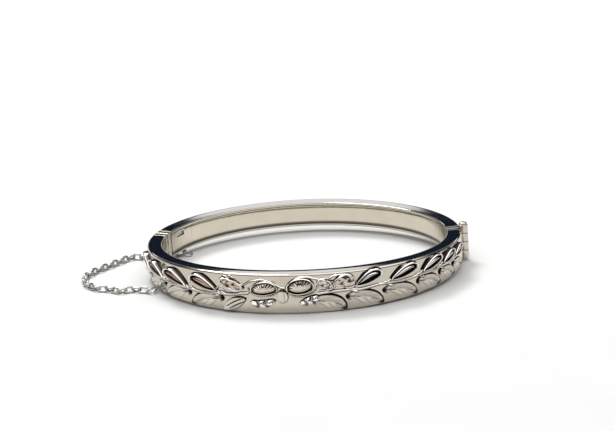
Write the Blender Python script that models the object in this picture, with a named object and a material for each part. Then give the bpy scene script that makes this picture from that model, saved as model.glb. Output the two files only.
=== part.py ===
"""A hinged oval bangle bracelet: two hollow halves, a hinge, a box clasp, leaf ornament and a safety chain.

The front half is at -Y, the back half at +Y, the clasp at -X and the hinge at +X. The origin lies under the
centre of the oval, on the surface that the bangle stands on. All sizes here are in millimetres.
"""

import math

import bmesh
import bpy
import numpy as np
from mathutils import Matrix

MM = 0.001

# The oval band
BAND_LENGTH = 64.0
BAND_DEPTH = 54.0
BAND_THICKNESS = 3.0
HEIGHT_FRONT = 8.2
HEIGHT_SIDE = 6.04
HEIGHT_BACK = 5.15
SHEET = 0.5
OUTER_EDGE = 0.45
INNER_EDGE = 0.2
SEAM_Y = 4.5
STATION_DEGREES = 4.0

# Gaps between pieces
SEAM_GAP = 0.06
JOIN_GAP = 0.04
ORNAMENT_GAP = 0.06

# The hinge
BARREL_RADIUS = 0.95
BARREL_HEIGHT = 7.2
BARREL_STANDOFF = 0.45
KNUCKLES = 4
KNUCKLE_GAP = 0.05
PIN_RADIUS = 0.4
PIN_CLEARANCE = 0.05
PIN_HEAD_RADIUS = 0.8
PIN_HEAD = 0.45
HINGE_BLOCK = 1.4
BARREL_CLEARANCE = 0.08

# The box clasp
CLASP_BLOCK = 1.6
MOUTH_WALL = 0.5
MOUTH_HEIGHT = 3.8
TONGUE_LENGTH = 5.2
TONGUE_HEIGHT = 3.0
TONGUE_SHEET = 0.35
TONGUE_SPREAD = 0.42
TONGUE_CLEARANCE = 0.12
THUMB_WIDTH = 1.0
THUMB_HEIGHT = 1.4
THUMB_RISE = 0.9
THUMB_CLEARANCE = 0.2
ANCHOR_PLATE = 8.0
APERTURE_LENGTH = 3.0
APERTURE_HEIGHT = 0.9

# The safety chain
CHAIN_DIAMETER = 0.9
CHAIN_SEGMENTS = 8
CHAIN_JOINT_GAP = 0.7
CHAIN_CLEARANCE = 0.02
CHAIN_END_GAP = 2.0
LUG_RADIUS = 0.45
LUG_WIRE = 0.16
RING_RADIUS = 0.9
RING_WIRE = 0.19
BACK_LUG_DEGREES = 154.0
FRONT_LUG_DEGREES = 207.5
CHAIN_ROUTE = [
    (-26.0, 10.2), (-28.9, 9.9), (-31.8, 8.9), (-34.9, 8.0), (-37.2, 8.2), (-38.8, 6.4), (-40.5, 3.9),
    (-42.2, 1.3), (-44.0, -1.7), (-44.8, -5.1), (-43.6, -9.0), (-41.1, -11.4), (-38.6, -12.0), (-36.2, -13.2),
    (-33.6, -12.4), (-31.4, -12.9), (-29.7, -13.2),
]

# Sizes that follow from those above
HALF_LENGTH = BAND_LENGTH / 2
HALF_DEPTH = BAND_DEPTH / 2
HALF_BARREL = BARREL_HEIGHT / 2
MID_HEIGHT = max(HEIGHT_FRONT / 2, HALF_BARREL + KNUCKLE_GAP + PIN_HEAD)
HINGE_SEAM = math.asin(SEAM_Y / HALF_DEPTH)
CLASP_SEAM = math.pi - HINGE_SEAM
FULL_TURN = 2 * math.pi
FRONT_CENTRE = 1.5 * math.pi


# ---- the oval and its wall

def outer_point(angle):
    return np.array([HALF_LENGTH * math.cos(angle), HALF_DEPTH * math.sin(angle)])


def outer_normal(angle):
    normal = np.array([math.cos(angle) / HALF_LENGTH, math.sin(angle) / HALF_DEPTH])
    return normal / np.linalg.norm(normal)


def angle_step(angle, length):
    """The change of angle that moves a point by length along the oval."""
    return length / math.hypot(HALF_LENGTH * math.sin(angle), HALF_DEPTH * math.cos(angle))


def band_height(y):
    """The band's height, tallest at the front and lowest at the back."""
    share = y / HALF_DEPTH
    slope = (HEIGHT_BACK - HEIGHT_FRONT) / 2
    bow = (HEIGHT_FRONT + HEIGHT_BACK) / 2 - HEIGHT_SIDE
    return HEIGHT_SIDE + slope * share + bow * share * share


def half_height(angle):
    return band_height(outer_point(angle)[1]) / 2


def band_point(angle, depth, z):
    """A point at a depth inside the outer wall."""
    x, y = outer_point(angle) - depth * outer_normal(angle)
    return (x, y, z)


def arc_table():
    """Angles round the front half, with the length along the wall from the front's centre."""
    angles = np.linspace(CLASP_SEAM, HINGE_SEAM + FULL_TURN, 721)
    points = np.array([outer_point(a) for a in angles])
    lengths = np.concatenate([[0.0], np.cumsum(np.linalg.norm(np.diff(points, axis=0), axis=1))])
    return angles, lengths - np.interp(FRONT_CENTRE, angles, lengths)


ARC_ANGLES, ARC_LENGTHS = arc_table()


def wall_point(along, up, rise):
    """A point on the front wall: along it from the centre, up from the bottom plane, and out from its face."""
    return band_point(float(np.interp(along, ARC_LENGTHS, ARC_ANGLES)), -rise, up)


# ---- materials, objects and modelling helpers

def metal(name, colour, roughness):
    material = bpy.data.materials.new(name)
    material.use_nodes = True
    shader = material.node_tree.nodes["Principled BSDF"]
    shader.inputs["Base Color"].default_value = (*colour, 1.0)
    shader.inputs["Metallic"].default_value = 1.0
    shader.inputs["Roughness"].default_value = roughness
    return material


def pivot(name, point, parent=None, parent_point=(0.0, 0.0, 0.0)):
    """An empty on a joint's axis, which the pieces of that body hang from."""
    empty = bpy.data.objects.new(name, None)
    empty.empty_display_size = 2 * MM
    bpy.context.scene.collection.objects.link(empty)
    empty.parent = parent
    empty.location = [(p - q) * MM for p, q in zip(point, parent_point)]
    return empty


def adopt(piece, parent, point):
    piece.parent = parent
    piece.matrix_parent_inverse = Matrix.Translation([-p * MM for p in point])
    return piece


def solid(name, points, faces, material, smooth_degrees=40.0):
    mesh = bpy.data.meshes.new(name)
    mesh.from_pydata([[c * MM for c in p] for p in points], [], faces)
    work = bmesh.new()
    work.from_mesh(mesh)
    bmesh.ops.recalc_face_normals(work, faces=work.faces)
    work.to_mesh(mesh)
    work.free()
    mesh.materials.append(material)
    mesh.shade_smooth()
    mesh.set_sharp_from_angle(angle=math.radians(smooth_degrees))
    piece = bpy.data.objects.new(name, mesh)
    bpy.context.scene.collection.objects.link(piece)
    return piece


def loft(name, loops, material):
    """A closed solid through loops of points, with its two ends capped."""
    count = len(loops[0])
    points = [p for loop in loops for p in loop]
    faces = []
    for ring in range(len(loops) - 1):
        for i in range(count):
            j = (i + 1) % count
            low, high = ring * count, (ring + 1) * count
            faces.append((low + i, low + j, high + j, high + i))
    faces.append(tuple(range(count)))
    faces.append(tuple(range(len(points) - count, len(points))))
    return solid(name, points, faces, material)


def cutter(name, points, faces):
    guide = solid(name, points, faces, CUTTER_METAL)
    guide.hide_render = True
    guide.display_type = "WIRE"
    return guide


def cut(piece, guide):
    modifier = piece.modifiers.new(guide.name, "BOOLEAN")
    modifier.operation = "DIFFERENCE"
    modifier.solver = "EXACT"
    modifier.object = guide


BOX_FACES = [(0, 1, 3, 2), (4, 5, 7, 6), (0, 1, 5, 4), (2, 3, 7, 6), (0, 2, 6, 4), (1, 3, 7, 5)]


def box_points(x_range, y_range, z_range):
    return [(x, y, z) for x in x_range for y in y_range for z in z_range]


def turned(name, profile, centre, sides, material):
    """A solid of revolution about a vertical line, from (radius, z) pairs that run round a closed outline."""
    points, faces = [], []
    count = len(profile)
    for k in range(sides):
        a = FULL_TURN * k / sides
        points += [(centre[0] + r * math.cos(a), centre[1] + r * math.sin(a), z) for r, z in profile]
    for k in range(sides):
        here, there = k * count, ((k + 1) % sides) * count
        for i in range(count):
            j = (i + 1) % count
            faces.append((here + i, here + j, there + j, there + i))
    return solid(name, points, faces, material)


def column(radius, z_low, z_high, centre, sides):
    """Points and faces of a plain upright cylinder."""
    points, faces = [], []
    for k in range(sides):
        a = FULL_TURN * k / sides
        x, y = centre[0] + radius * math.cos(a), centre[1] + radius * math.sin(a)
        points += [(x, y, z_low), (x, y, z_high)]
        nxt = (k + 1) % sides
        faces.append((2 * k, 2 * nxt, 2 * nxt + 1, 2 * k + 1))
    faces.append(tuple(2 * k for k in range(sides)))
    faces.append(tuple(2 * k + 1 for k in range(sides)))
    return points, faces


def wire_ring(name, centre, across, up, radius, wire, material, turns=16, sides=8):
    """A round wire ring in the plane of the two unit directions across and up."""
    across, up, centre = np.array(across), np.array(up), np.array(centre)
    axis = np.cross(across, up)
    points, faces = [], []
    for k in range(turns):
        a = FULL_TURN * k / turns
        out = math.cos(a) * across + math.sin(a) * up
        for i in range(sides):
            b = FULL_TURN * i / sides
            points.append(tuple(centre + (radius + wire * math.cos(b)) * out + wire * math.sin(b) * axis))
            here, there = k * sides, ((k + 1) % turns) * sides
            j = (i + 1) % sides
            faces.append((here + i, here + j, there + j, there + i))
    return solid(name, points, faces, material, 60.0)


# ---- the two hollow halves

def shell_profile(angle):
    """The folded outer sheet: a wall with a flange along its top and its bottom, open to the wrist."""
    half = half_height(angle)
    bend = OUTER_EDGE * (1 - math.sqrt(0.5))
    outside = [(BAND_THICKNESS - INNER_EDGE, half), (OUTER_EDGE, half), (bend, half - bend), (0, half - OUTER_EDGE)]
    lower = [(d, -z) for d, z in reversed(outside)]
    lip = [(BAND_THICKNESS, -half + INNER_EDGE), (BAND_THICKNESS, -half + SHEET), (SHEET, -half + SHEET)]
    upper_lip = [(d, -z) for d, z in reversed(lip)]
    return outside + lower + lip + upper_lip


def liner_profile(angle):
    """The flat inner sheet that closes the folded sheet, set between its flanges."""
    half = half_height(angle) - SHEET - JOIN_GAP
    inner, outer = BAND_THICKNESS, BAND_THICKNESS - SHEET
    return [(outer, half), (outer, -half), (inner, -half), (inner, half)]


def block_profile(angle):
    """The whole cross-section, for the blocks that close the ends of the halves."""
    half = half_height(angle)
    bend = OUTER_EDGE * (1 - math.sqrt(0.5))
    outside = [(BAND_THICKNESS - INNER_EDGE, half), (OUTER_EDGE, half), (bend, half - bend), (0, half - OUTER_EDGE)]
    lower = [(d, -z) for d, z in reversed(outside)]
    inside = [(BAND_THICKNESS, -half + INNER_EDGE), (BAND_THICKNESS, half - INNER_EDGE)]
    return outside + lower + inside


def sweep(name, start, end, profile, material):
    """A piece of the band between two angles, with its profile square to the wall all the way."""
    steps = max(1, math.ceil((end - start) / math.radians(STATION_DEGREES)))
    loops = []
    for k in range(steps + 1):
        angle = start + (end - start) * k / steps
        loops.append([band_point(angle, depth, MID_HEIGHT + z) for depth, z in profile(angle)])
    return loft(name, loops, material)


def seam_space(angle):
    return angle_step(angle, SEAM_GAP / 2)


def half_limits(start, end, first_block, last_block):
    """The angles where a half's sheets begin and end, between its two blocks."""
    low = start + seam_space(start) + angle_step(start, first_block + JOIN_GAP)
    high = end - seam_space(end) - angle_step(end, last_block + JOIN_GAP)
    return low, high


def build_halves():
    front_start, front_end = half_limits(CLASP_SEAM, HINGE_SEAM + FULL_TURN, CLASP_BLOCK, HINGE_BLOCK)
    front = [
        sweep("front_outer_shell", front_start, front_end, shell_profile, SHELL_METAL),
        sweep("front_inner_liner", front_start, front_end, liner_profile, LINER_METAL),
    ]
    back_start, back_end = half_limits(HINGE_SEAM, CLASP_SEAM, HINGE_BLOCK, CLASP_BLOCK)
    plate_start = back_end - angle_step(back_end, ANCHOR_PLATE)
    back = [
        sweep("back_outer_shell", back_start, back_end, shell_profile, SHELL_METAL),
        sweep("back_inner_liner", back_start, plate_start, liner_profile, LINER_METAL),
    ]
    anchor_start = plate_start + angle_step(plate_start, JOIN_GAP)
    anchor = sweep("tongue_anchor_plate", anchor_start, back_end, liner_profile, LINER_METAL)
    cut(anchor, aperture_guide(anchor_start, back_end))
    return front, back + [anchor]


def aperture_guide(start, end):
    """The slot near the top of the anchor plate, where the spring was riveted from."""
    middle = (start + end) / 2
    reach = angle_step(middle, APERTURE_LENGTH / 2)
    top = MID_HEIGHT + half_height(middle) - SHEET - 0.6
    loops = []
    for angle in (middle - reach, middle + reach):
        for depth in (BAND_THICKNESS - 2 * SHEET, BAND_THICKNESS + SHEET):
            loops += [band_point(angle, depth, z) for z in (top - APERTURE_HEIGHT, top)]
    return cutter("aperture_cutter", loops, BOX_FACES)


# ---- the hinge

HINGE_POINT = tuple(outer_point(HINGE_SEAM) + BARREL_STANDOFF * outer_normal(HINGE_SEAM))


def build_hinge():
    """The blocks are hollowed round the barrel, and the knuckles belong in turn to the front and the back."""
    start = HINGE_SEAM + seam_space(HINGE_SEAM)
    back_block = sweep("back_hinge_block", start, start + angle_step(start, HINGE_BLOCK), block_profile, SHELL_METAL)
    end = HINGE_SEAM - seam_space(HINGE_SEAM)
    front_block = sweep("front_hinge_block", end - angle_step(end, HINGE_BLOCK), end, block_profile, SHELL_METAL)
    reach = MID_HEIGHT + HEIGHT_FRONT
    guide = cutter("barrel_cutter", *column(BARREL_RADIUS + BARREL_CLEARANCE, -reach, reach, HINGE_POINT, 32))
    cut(back_block, guide)
    cut(front_block, guide)
    front, back = [front_block], [back_block]
    pitch = BARREL_HEIGHT / KNUCKLES
    for k in range(KNUCKLES):
        low = MID_HEIGHT - HALF_BARREL + k * pitch + KNUCKLE_GAP / 2
        high = low + pitch - KNUCKLE_GAP
        bore = PIN_RADIUS + PIN_CLEARANCE
        profile = [(bore, low), (BARREL_RADIUS, low), (BARREL_RADIUS, high), (bore, high)]
        owner, side = (front, "front") if k % 2 else (back, "back")
        owner.append(turned(f"{side}_knuckle_{k // 2 + 1}", profile, HINGE_POINT, 24, HINGE_METAL))
    back.append(build_pin())
    return front, back


def build_pin():
    """The pin, with a round head below the barrel and another above it."""
    low = MID_HEIGHT - HALF_BARREL - KNUCKLE_GAP / 2
    high = MID_HEIGHT + HALF_BARREL + KNUCKLE_GAP / 2
    outline = [
        (PIN_HEAD_RADIUS, low - PIN_HEAD - KNUCKLE_GAP / 2), (PIN_HEAD_RADIUS, low), (PIN_RADIUS, low),
        (PIN_RADIUS, high), (PIN_HEAD_RADIUS, high), (PIN_HEAD_RADIUS, high + PIN_HEAD / 2),
        (PIN_HEAD_RADIUS / 2, high + PIN_HEAD),
    ]
    sides, count = 24, len(outline)
    points, faces = [], []
    for k in range(sides):
        a = FULL_TURN * k / sides
        points += [(HINGE_POINT[0] + r * math.cos(a), HINGE_POINT[1] + r * math.sin(a), z) for r, z in outline]
        here, there = k * count, ((k + 1) % sides) * count
        faces += [(here + i, here + i + 1, there + i + 1, there + i) for i in range(count - 1)]
    faces.append(tuple(k * count for k in range(sides)))
    faces.append(tuple(k * count + count - 1 for k in range(sides)))
    return solid("hinge_pin", points, faces, HINGE_METAL)


# ---- the box clasp

CLASP_CENTRE = band_point(CLASP_SEAM, BAND_THICKNESS / 2, MID_HEIGHT)
TONGUE_X = -(HALF_LENGTH - BAND_THICKNESS + SHEET + TONGUE_CLEARANCE + TONGUE_SHEET)
FOLD_POINT = (TONGUE_X - TONGUE_SHEET / 2 - 0.05, CLASP_CENTRE[1] - TONGUE_LENGTH)
THUMB_Y = SEAM_Y - THUMB_CLEARANCE - THUMB_WIDTH / 2
THUMB_Z = MID_HEIGHT + 0.9


def build_clasp():
    """A box with an open mouth on the front half, and a folded spring tongue on the back half."""
    start = CLASP_SEAM + seam_space(CLASP_SEAM)
    mouth = sweep("clasp_box_mouth", start, start + angle_step(start, CLASP_BLOCK), block_profile, SHELL_METAL)
    mouth_low, mouth_high = MID_HEIGHT - MOUTH_HEIGHT / 2, MID_HEIGHT + MOUTH_HEIGHT / 2
    before = start - angle_step(start, CLASP_BLOCK)
    after = start + angle_step(start, 2 * CLASP_BLOCK)
    tongue_depth = TONGUE_X - TONGUE_SPREAD - TONGUE_SHEET - band_point(CLASP_SEAM, 0, 0)[0]
    outer_wall = min(MOUTH_WALL, tongue_depth - TONGUE_CLEARANCE)
    corners = []
    for angle in (before, after):
        for depth in (outer_wall, BAND_THICKNESS - MOUTH_WALL):
            corners += [band_point(angle, depth, z) for z in (mouth_low, mouth_high)]
    cut(mouth, cutter("mouth_cutter", corners, BOX_FACES))
    slot_x = (CLASP_CENTRE[0] - BAND_THICKNESS, CLASP_CENTRE[0] - BAND_THICKNESS / 4)
    slot_y = (THUMB_Y - THUMB_WIDTH / 2 - THUMB_CLEARANCE, SEAM_Y + CLASP_BLOCK)
    slot_z = (THUMB_Z - THUMB_HEIGHT / 2 - THUMB_CLEARANCE, THUMB_Z + THUMB_HEIGHT / 2 + THUMB_CLEARANCE)
    cut(mouth, cutter("thumb_slot_cutter", box_points(slot_x, slot_y, slot_z), BOX_FACES))

    end = CLASP_SEAM - seam_space(CLASP_SEAM)
    block = sweep("tongue_end_block", end - angle_step(end, CLASP_BLOCK), end, block_profile, SHELL_METAL)
    tongue = build_tongue_base()
    spring = build_tongue_spring()
    thumb = build_thumb_piece()
    return [mouth], [block, tongue], [spring, thumb]


def build_tongue_base():
    """The fixed leaf of the tongue, which stands on the end block and ends in the fold."""
    low, high = MID_HEIGHT - TONGUE_HEIGHT / 2, MID_HEIGHT + TONGUE_HEIGHT / 2
    root = CLASP_CENTRE[1] - SEAM_GAP / 2 - JOIN_GAP
    fold_y = FOLD_POINT[1]
    inner, outer = TONGUE_X + TONGUE_SHEET, TONGUE_X
    nose = 0.75 * TONGUE_SHEET
    outline = [
        (inner, root), (inner, fold_y), (inner - nose, fold_y - nose), (outer - nose, fold_y - nose),
        (outer - 1.6 * nose, fold_y - 0.3 * nose), (outer, fold_y + 0.2), (outer, root),
    ]
    return loft("tongue_base_leaf", [[(x, y, z) for x, y in outline] for z in (low, high)], SPRING_METAL)


def build_tongue_spring():
    """The sprung leaf, which leans away from the fixed leaf from the fold to its free end."""
    low, high = MID_HEIGHT - 0.43 * TONGUE_HEIGHT, MID_HEIGHT + 0.43 * TONGUE_HEIGHT
    near_y, far_y = FOLD_POINT[1] + TONGUE_SHEET, CLASP_CENTRE[1] - 2 * TONGUE_CLEARANCE
    near_x = TONGUE_X - TONGUE_CLEARANCE
    far_x = TONGUE_X - TONGUE_SPREAD
    outline = [
        (near_x, near_y), (near_x - TONGUE_SHEET, near_y), (far_x - TONGUE_SHEET, far_y), (far_x, far_y),
    ]
    return loft("tongue_spring_leaf", [[(x, y, z) for x, y in outline] for z in (low, high)], SPRING_METAL)


def build_thumb_piece():
    """The rounded button that stands out through the slot, on a stem that meets the sprung leaf."""
    wall_x = band_point(CLASP_SEAM, 0, 0)[0]
    leaf_x = TONGUE_X - TONGUE_SPREAD - TONGUE_SHEET - JOIN_GAP
    tip_x = wall_x - THUMB_RISE
    length = leaf_x - tip_x
    outline = [(0.0, 0.55), (0.35, 0.55), (0.5, 1.0), (0.75, 0.93), (0.92, 0.6), (1.0, 0.25)]
    sides = 16
    loops = []
    for share, size in outline:
        ring = []
        for k in range(sides):
            a = FULL_TURN * k / sides
            y = THUMB_Y + size * THUMB_WIDTH / 2 * math.cos(a)
            z = THUMB_Z + size * THUMB_HEIGHT / 2 * math.sin(a)
            ring.append((leaf_x - share * length, y, z))
        loops.append(ring)
    return loft("clasp_thumb_piece", loops, HINGE_METAL)


# ---- the ornament on the front wall

def leaf_shape(share, fullness):
    """How wide a leaf is at a share of its length: a point at each end, widest towards its base or tip."""
    return max(0.07, math.sin(math.pi * share ** fullness) ** 0.8)


def bud_shape(share, _):
    return max(0.12, math.sqrt(max(0.0, 1 - (2 * share - 1) ** 2)))


def place_mark(mark):
    """A mark's place on the wall: along it from the front centre, and up by a share of the band's height."""
    along, share = mark
    return along, MID_HEIGHT + share * band_height(wall_point(along, 0, 0)[1])


def plate(name, start, end, width, rise, fullness=1.0, dish=0.0, shape=leaf_shape, along=8, across=4):
    """A raised piece on the wall between two marks, with a dished or crowned face."""
    (s0, z0), (s1, z1) = place_mark(start), place_mark(end)
    length = math.hypot(s1 - s0, z1 - z0)
    ahead = ((s1 - s0) / length, (z1 - z0) / length)
    side = (-ahead[1], ahead[0])
    rows = [k / along for k in range(along + 1)]
    points = []
    for face in (0, 1):
        for t in rows:
            reach = width / 2 * shape(t, fullness)
            for i in range(across + 1):
                q = 2 * i / across - 1
                s = s0 + ahead[0] * length * t + side[0] * q * reach
                z = z0 + ahead[1] * length * t + side[1] * q * reach
                crown = 1 - dish * (1 - q * q) if dish > 0 else 0.6 + 0.4 * (1 - q * q)
                height = ORNAMENT_GAP + (rise * crown * (0.45 + 0.55 * shape(t, fullness)) if face else 0)
                points.append(wall_point(s, z, height))
    count, row = (along + 1) * (across + 1), across + 1
    faces = []
    for k in range(along):
        for i in range(across):
            a = k * row + i
            faces.append((a, a + 1, a + row + 1, a + row))
            faces.append((count + a, count + a + row, count + a + row + 1, count + a + 1))
    rim = list(range(row)) + [k * row + across for k in range(1, along + 1)]
    rim += [along * row + i for i in range(across - 1, -1, -1)] + [k * row for k in range(along - 1, 0, -1)]
    for k, a in enumerate(rim):
        b = rim[(k + 1) % len(rim)]
        faces.append((a, b, count + b, count + a))
    return solid(name, points, faces, ORNAMENT_METAL, 30.0)


def vine(name, stations, width, rise):
    """A stem laid along the wall through marks."""
    loops = []
    outline = [(-0.5, 0), (-0.5, 0.5), (-0.2, 1), (0.2, 1), (0.5, 0.5), (0.5, 0)]
    marks = np.array([place_mark(station) for station in stations])
    steps = math.ceil((marks[-1, 0] - marks[0, 0]) / 1.7)
    for s in np.linspace(marks[0, 0], marks[-1, 0], steps + 1):
        z = float(np.interp(s, marks[:, 0], marks[:, 1]))
        loops.append([wall_point(s, z + width * q, ORNAMENT_GAP + rise * h) for q, h in outline])
    return loft(name, loops, ORNAMENT_METAL)


# Each mark is millimetres along the wall from the front centre, and the height over the middle of the wall as a
# share of the band's height there. A leaf runs from its base mark to its tip mark. Widths are shares too.
UPPER_LEFT = [((-14.7, 0.044), (-21.0, 0.262)), ((-22.3, 0.033), (-29.2, 0.252)), ((-30.0, 0.042), (-36.0, 0.254)),
              ((-37.0, 0.068), (-42.3, 0.239))]
UPPER_RIGHT = [((13.6, 0.119), (18.9, 0.388)), ((20.6, 0.118), (27.0, 0.371)), ((28.2, 0.125), (33.7, 0.394)),
               ((34.4, 0.147), (38.5, 0.352)), ((39.1, 0.169), (42.7, 0.319))]
LOWER_LEFT = [((-13.9, -0.139), (-21.0, -0.387)), ((-21.6, -0.145), (-28.8, -0.390)),
              ((-29.6, -0.162), (-36.0, -0.328)), ((-36.6, -0.173), (-42.2, -0.286))]
LOWER_RIGHT = [((6.2, -0.074), (11.4, -0.336)), ((12.0, -0.062), (19.0, -0.311)), ((19.7, -0.065), (26.7, -0.301)),
               ((27.3, -0.069), (32.9, -0.290)), ((33.5, -0.073), (38.2, -0.275)), ((38.8, -0.084), (42.7, -0.224))]
UPPER_WIDTH = 0.2561
LOWER_WIDTH = 0.2683
STEM_WIDTH = 0.061
LEAF_RISE = 0.7
BUD_RISE = 0.75


def leaf(name, line, width, fullness, dish=0.0):
    """A leaf whose width goes by the band's height where it lies."""
    base, tip = line
    height = band_height(wall_point((base[0] + tip[0]) / 2, 0, 0)[1])
    return plate(name, base, tip, width * height, LEAF_RISE, fullness, dish)


def build_ornament():
    pieces = []
    rows = [("upper_left", UPPER_LEFT, UPPER_WIDTH, 1.25, 0.5), ("upper_right", UPPER_RIGHT, UPPER_WIDTH, 1.0, 0.5),
            ("lower_left", LOWER_LEFT, LOWER_WIDTH, 0.9, 0.0), ("lower_right", LOWER_RIGHT, LOWER_WIDTH, 0.9, 0.0)]
    for row, lines, width, fullness, dish in rows:
        for k, line in enumerate(lines):
            pieces.append(leaf(f"leaf_{row}_{k + 1}", line, width, fullness, dish))
    pieces += [
        plate("bud_left", (-7.3, 0.098), (-1.8, 0.171), 2.7, BUD_RISE, shape=bud_shape, dish=0.4),
        plate("bud_right", (0.0, 0.159), (5.3, 0.221), 3.2, BUD_RISE, shape=bud_shape, dish=0.4),
        plate("bow_petal", (-0.9, 0.110), (-0.8, -0.195), 1.6, LEAF_RISE, shape=bud_shape),
        plate("ripple_left", (-7.0, -0.221), (-3.6, -0.196), 1.0, 0.6),
        plate("ripple_right", (2.6, -0.195), (5.8, -0.110), 1.0, 0.6),
        plate("pointed_leaf", (-8.8, -0.161), (-12.9, -0.445), 1.7, LEAF_RISE, 0.9),
        plate("blossom_left", (-8.6, 0.136), (-13.2, 0.351), 2.2, BUD_RISE, 0.9),
        plate("blossom_right", (9.1, 0.185), (13.2, 0.339), 2.6, BUD_RISE, 0.9),
        plate("curl_right", (5.9, 0.258), (8.6, 0.160), 1.8, LEAF_RISE, shape=bud_shape, dish=0.5),
        vine("vine_left", [(-43.5, -0.048), (-13.0, -0.044), (-8.4, -0.049)],
             STEM_WIDTH * HEIGHT_FRONT, 0.5),
        vine("vine_right", [(6.0, 0.012), (12.0, 0.031), (39.0, 0.046), (43.0, 0.032), (46.5, -0.133)],
             0.9 * STEM_WIDTH * HEIGHT_FRONT, 0.5),
    ]
    return pieces


# ---- the safety chain

def smooth_route(marks, per_span=12):
    """A Catmull-Rom curve through the route's points."""
    marks = np.array(marks, float)
    padded = np.vstack([2 * marks[0] - marks[1], marks, 2 * marks[-1] - marks[-2]])
    points = []
    for k in range(1, len(padded) - 2):
        p0, p1, p2, p3 = padded[k - 1 : k + 3]
        for t in np.linspace(0, 1, per_span, endpoint=False):
            cubic = 2 * p1 + (p2 - p0) * t + (2 * p0 - 5 * p1 + 4 * p2 - p3) * t**2
            points.append((cubic + (3 * p1 - p0 - 3 * p2 + p3) * t**3) / 2)
    points.append(marks[-1])
    return np.array(points)


def along_route(route, distance):
    lengths = np.concatenate([[0.0], np.cumsum(np.linalg.norm(np.diff(route, axis=0), axis=1))])
    return np.array([np.interp(distance, lengths, route[:, k]) for k in (0, 1)])


def build_chain():
    """Lugs and rings on the two halves, and the chain as straight-jointed lengths between them."""
    back_rings = [lug("back_chain_lug", back_lug_point(), BACK_LUG_DEGREES)]
    inward = -outer_normal(math.radians(BACK_LUG_DEGREES))
    back_rings.append(jump_ring("back_jump_ring", back_lug_point(), inward))
    front_rings = [lug("front_chain_lug", front_lug_point(), FRONT_LUG_DEGREES)]
    outward = outer_normal(math.radians(FRONT_LUG_DEGREES))
    front_rings.append(jump_ring("front_jump_ring", front_lug_point(), outward))

    route = smooth_route(CHAIN_ROUTE)
    length = float(np.sum(np.linalg.norm(np.diff(route, axis=0), axis=1)))
    pitch = length / CHAIN_SEGMENTS
    joints = [tuple(along_route(route, k * pitch)) for k in range(CHAIN_SEGMENTS)]
    centre = CHAIN_DIAMETER / 2 + CHAIN_CLEARANCE
    segments, parent, parent_point = [], None, (0.0, 0.0, 0.0)
    for k, joint in enumerate(joints):
        point = (*joint, centre)
        empty = pivot(f"chain_joint_{k + 1}", point, parent, parent_point)
        first = k * pitch + (CHAIN_END_GAP - 0.6 if k == 0 else CHAIN_JOINT_GAP / 2)
        last = (k + 1) * pitch - (CHAIN_END_GAP if k == CHAIN_SEGMENTS - 1 else CHAIN_JOINT_GAP / 2)
        stations = np.linspace(first, last, 5)
        tube = chain_tube(f"chain_segment_{k + 1}", [(*along_route(route, d), centre) for d in stations])
        segments.append(adopt(tube, empty, point))
        parent, parent_point = empty, point
    return front_rings, back_rings, segments


def back_lug_point():
    angle = math.radians(BACK_LUG_DEGREES)
    low_edge = MID_HEIGHT - half_height(angle)
    return band_point(angle, BAND_THICKNESS - 0.75, low_edge - JOIN_GAP - LUG_RADIUS - LUG_WIRE)


def front_lug_point():
    """Out from the wall, just above its lower edge."""
    angle = math.radians(FRONT_LUG_DEGREES)
    low_edge = MID_HEIGHT - half_height(angle)
    return band_point(angle, -(ORNAMENT_GAP + LUG_RADIUS + LUG_WIRE), low_edge + OUTER_EDGE - 0.2)


def lug(name, point, degrees):
    outward = (*outer_normal(math.radians(degrees)), 0.0)
    return wire_ring(name, point, outward, (0.0, 0.0, 1.0), LUG_RADIUS, LUG_WIRE, CHAIN_METAL)


def jump_ring(name, lug_point, away):
    """A ring that goes through its lug and leans down from it to the surface."""
    foot = RING_WIRE + CHAIN_CLEARANCE
    tilt = math.asin((lug_point[2] - foot) / (2 * RING_RADIUS))
    tangent = (-away[1], away[0], 0.0)
    lean = (away[0] * math.cos(tilt), away[1] * math.cos(tilt), -math.sin(tilt))
    centre = [p + RING_RADIUS * c for p, c in zip(lug_point, lean)]
    return wire_ring(name, centre, tangent, lean, RING_RADIUS, RING_WIRE, CHAIN_METAL, 20)


def chain_tube(name, points):
    curve = bpy.data.curves.new(name, "CURVE")
    curve.dimensions = "3D"
    spline = curve.splines.new("POLY")
    spline.points.add(len(points) - 1)
    for item, point in zip(spline.points, points):
        item.co = (*[c * MM for c in point], 1.0)
    curve.bevel_depth = CHAIN_DIAMETER / 2 * MM
    curve.bevel_resolution = 2
    curve.use_fill_caps = True
    curve.materials.append(CHAIN_METAL)
    tube = bpy.data.objects.new(name, curve)
    bpy.context.scene.collection.objects.link(tube)
    return tube


# ---- the whole bangle

def clear_scene():
    for item in list(bpy.data.objects):
        bpy.data.objects.remove(item, do_unlink=True)


clear_scene()
SHELL_METAL = metal("polished_silver", (0.86, 0.84, 0.80), 0.08)
LINER_METAL = metal("inner_silver", (0.84, 0.82, 0.77), 0.14)
ORNAMENT_METAL = metal("ornament_silver", (0.83, 0.80, 0.77), 0.12)
HINGE_METAL = metal("hinge_silver", (0.78, 0.77, 0.75), 0.18)
SPRING_METAL = metal("spring_silver", (0.72, 0.71, 0.69), 0.25)
CHAIN_METAL = metal("chain_silver", (0.80, 0.79, 0.77), 0.15)
CUTTER_METAL = metal("cutter", (0.5, 0.5, 0.5), 0.5)


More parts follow.
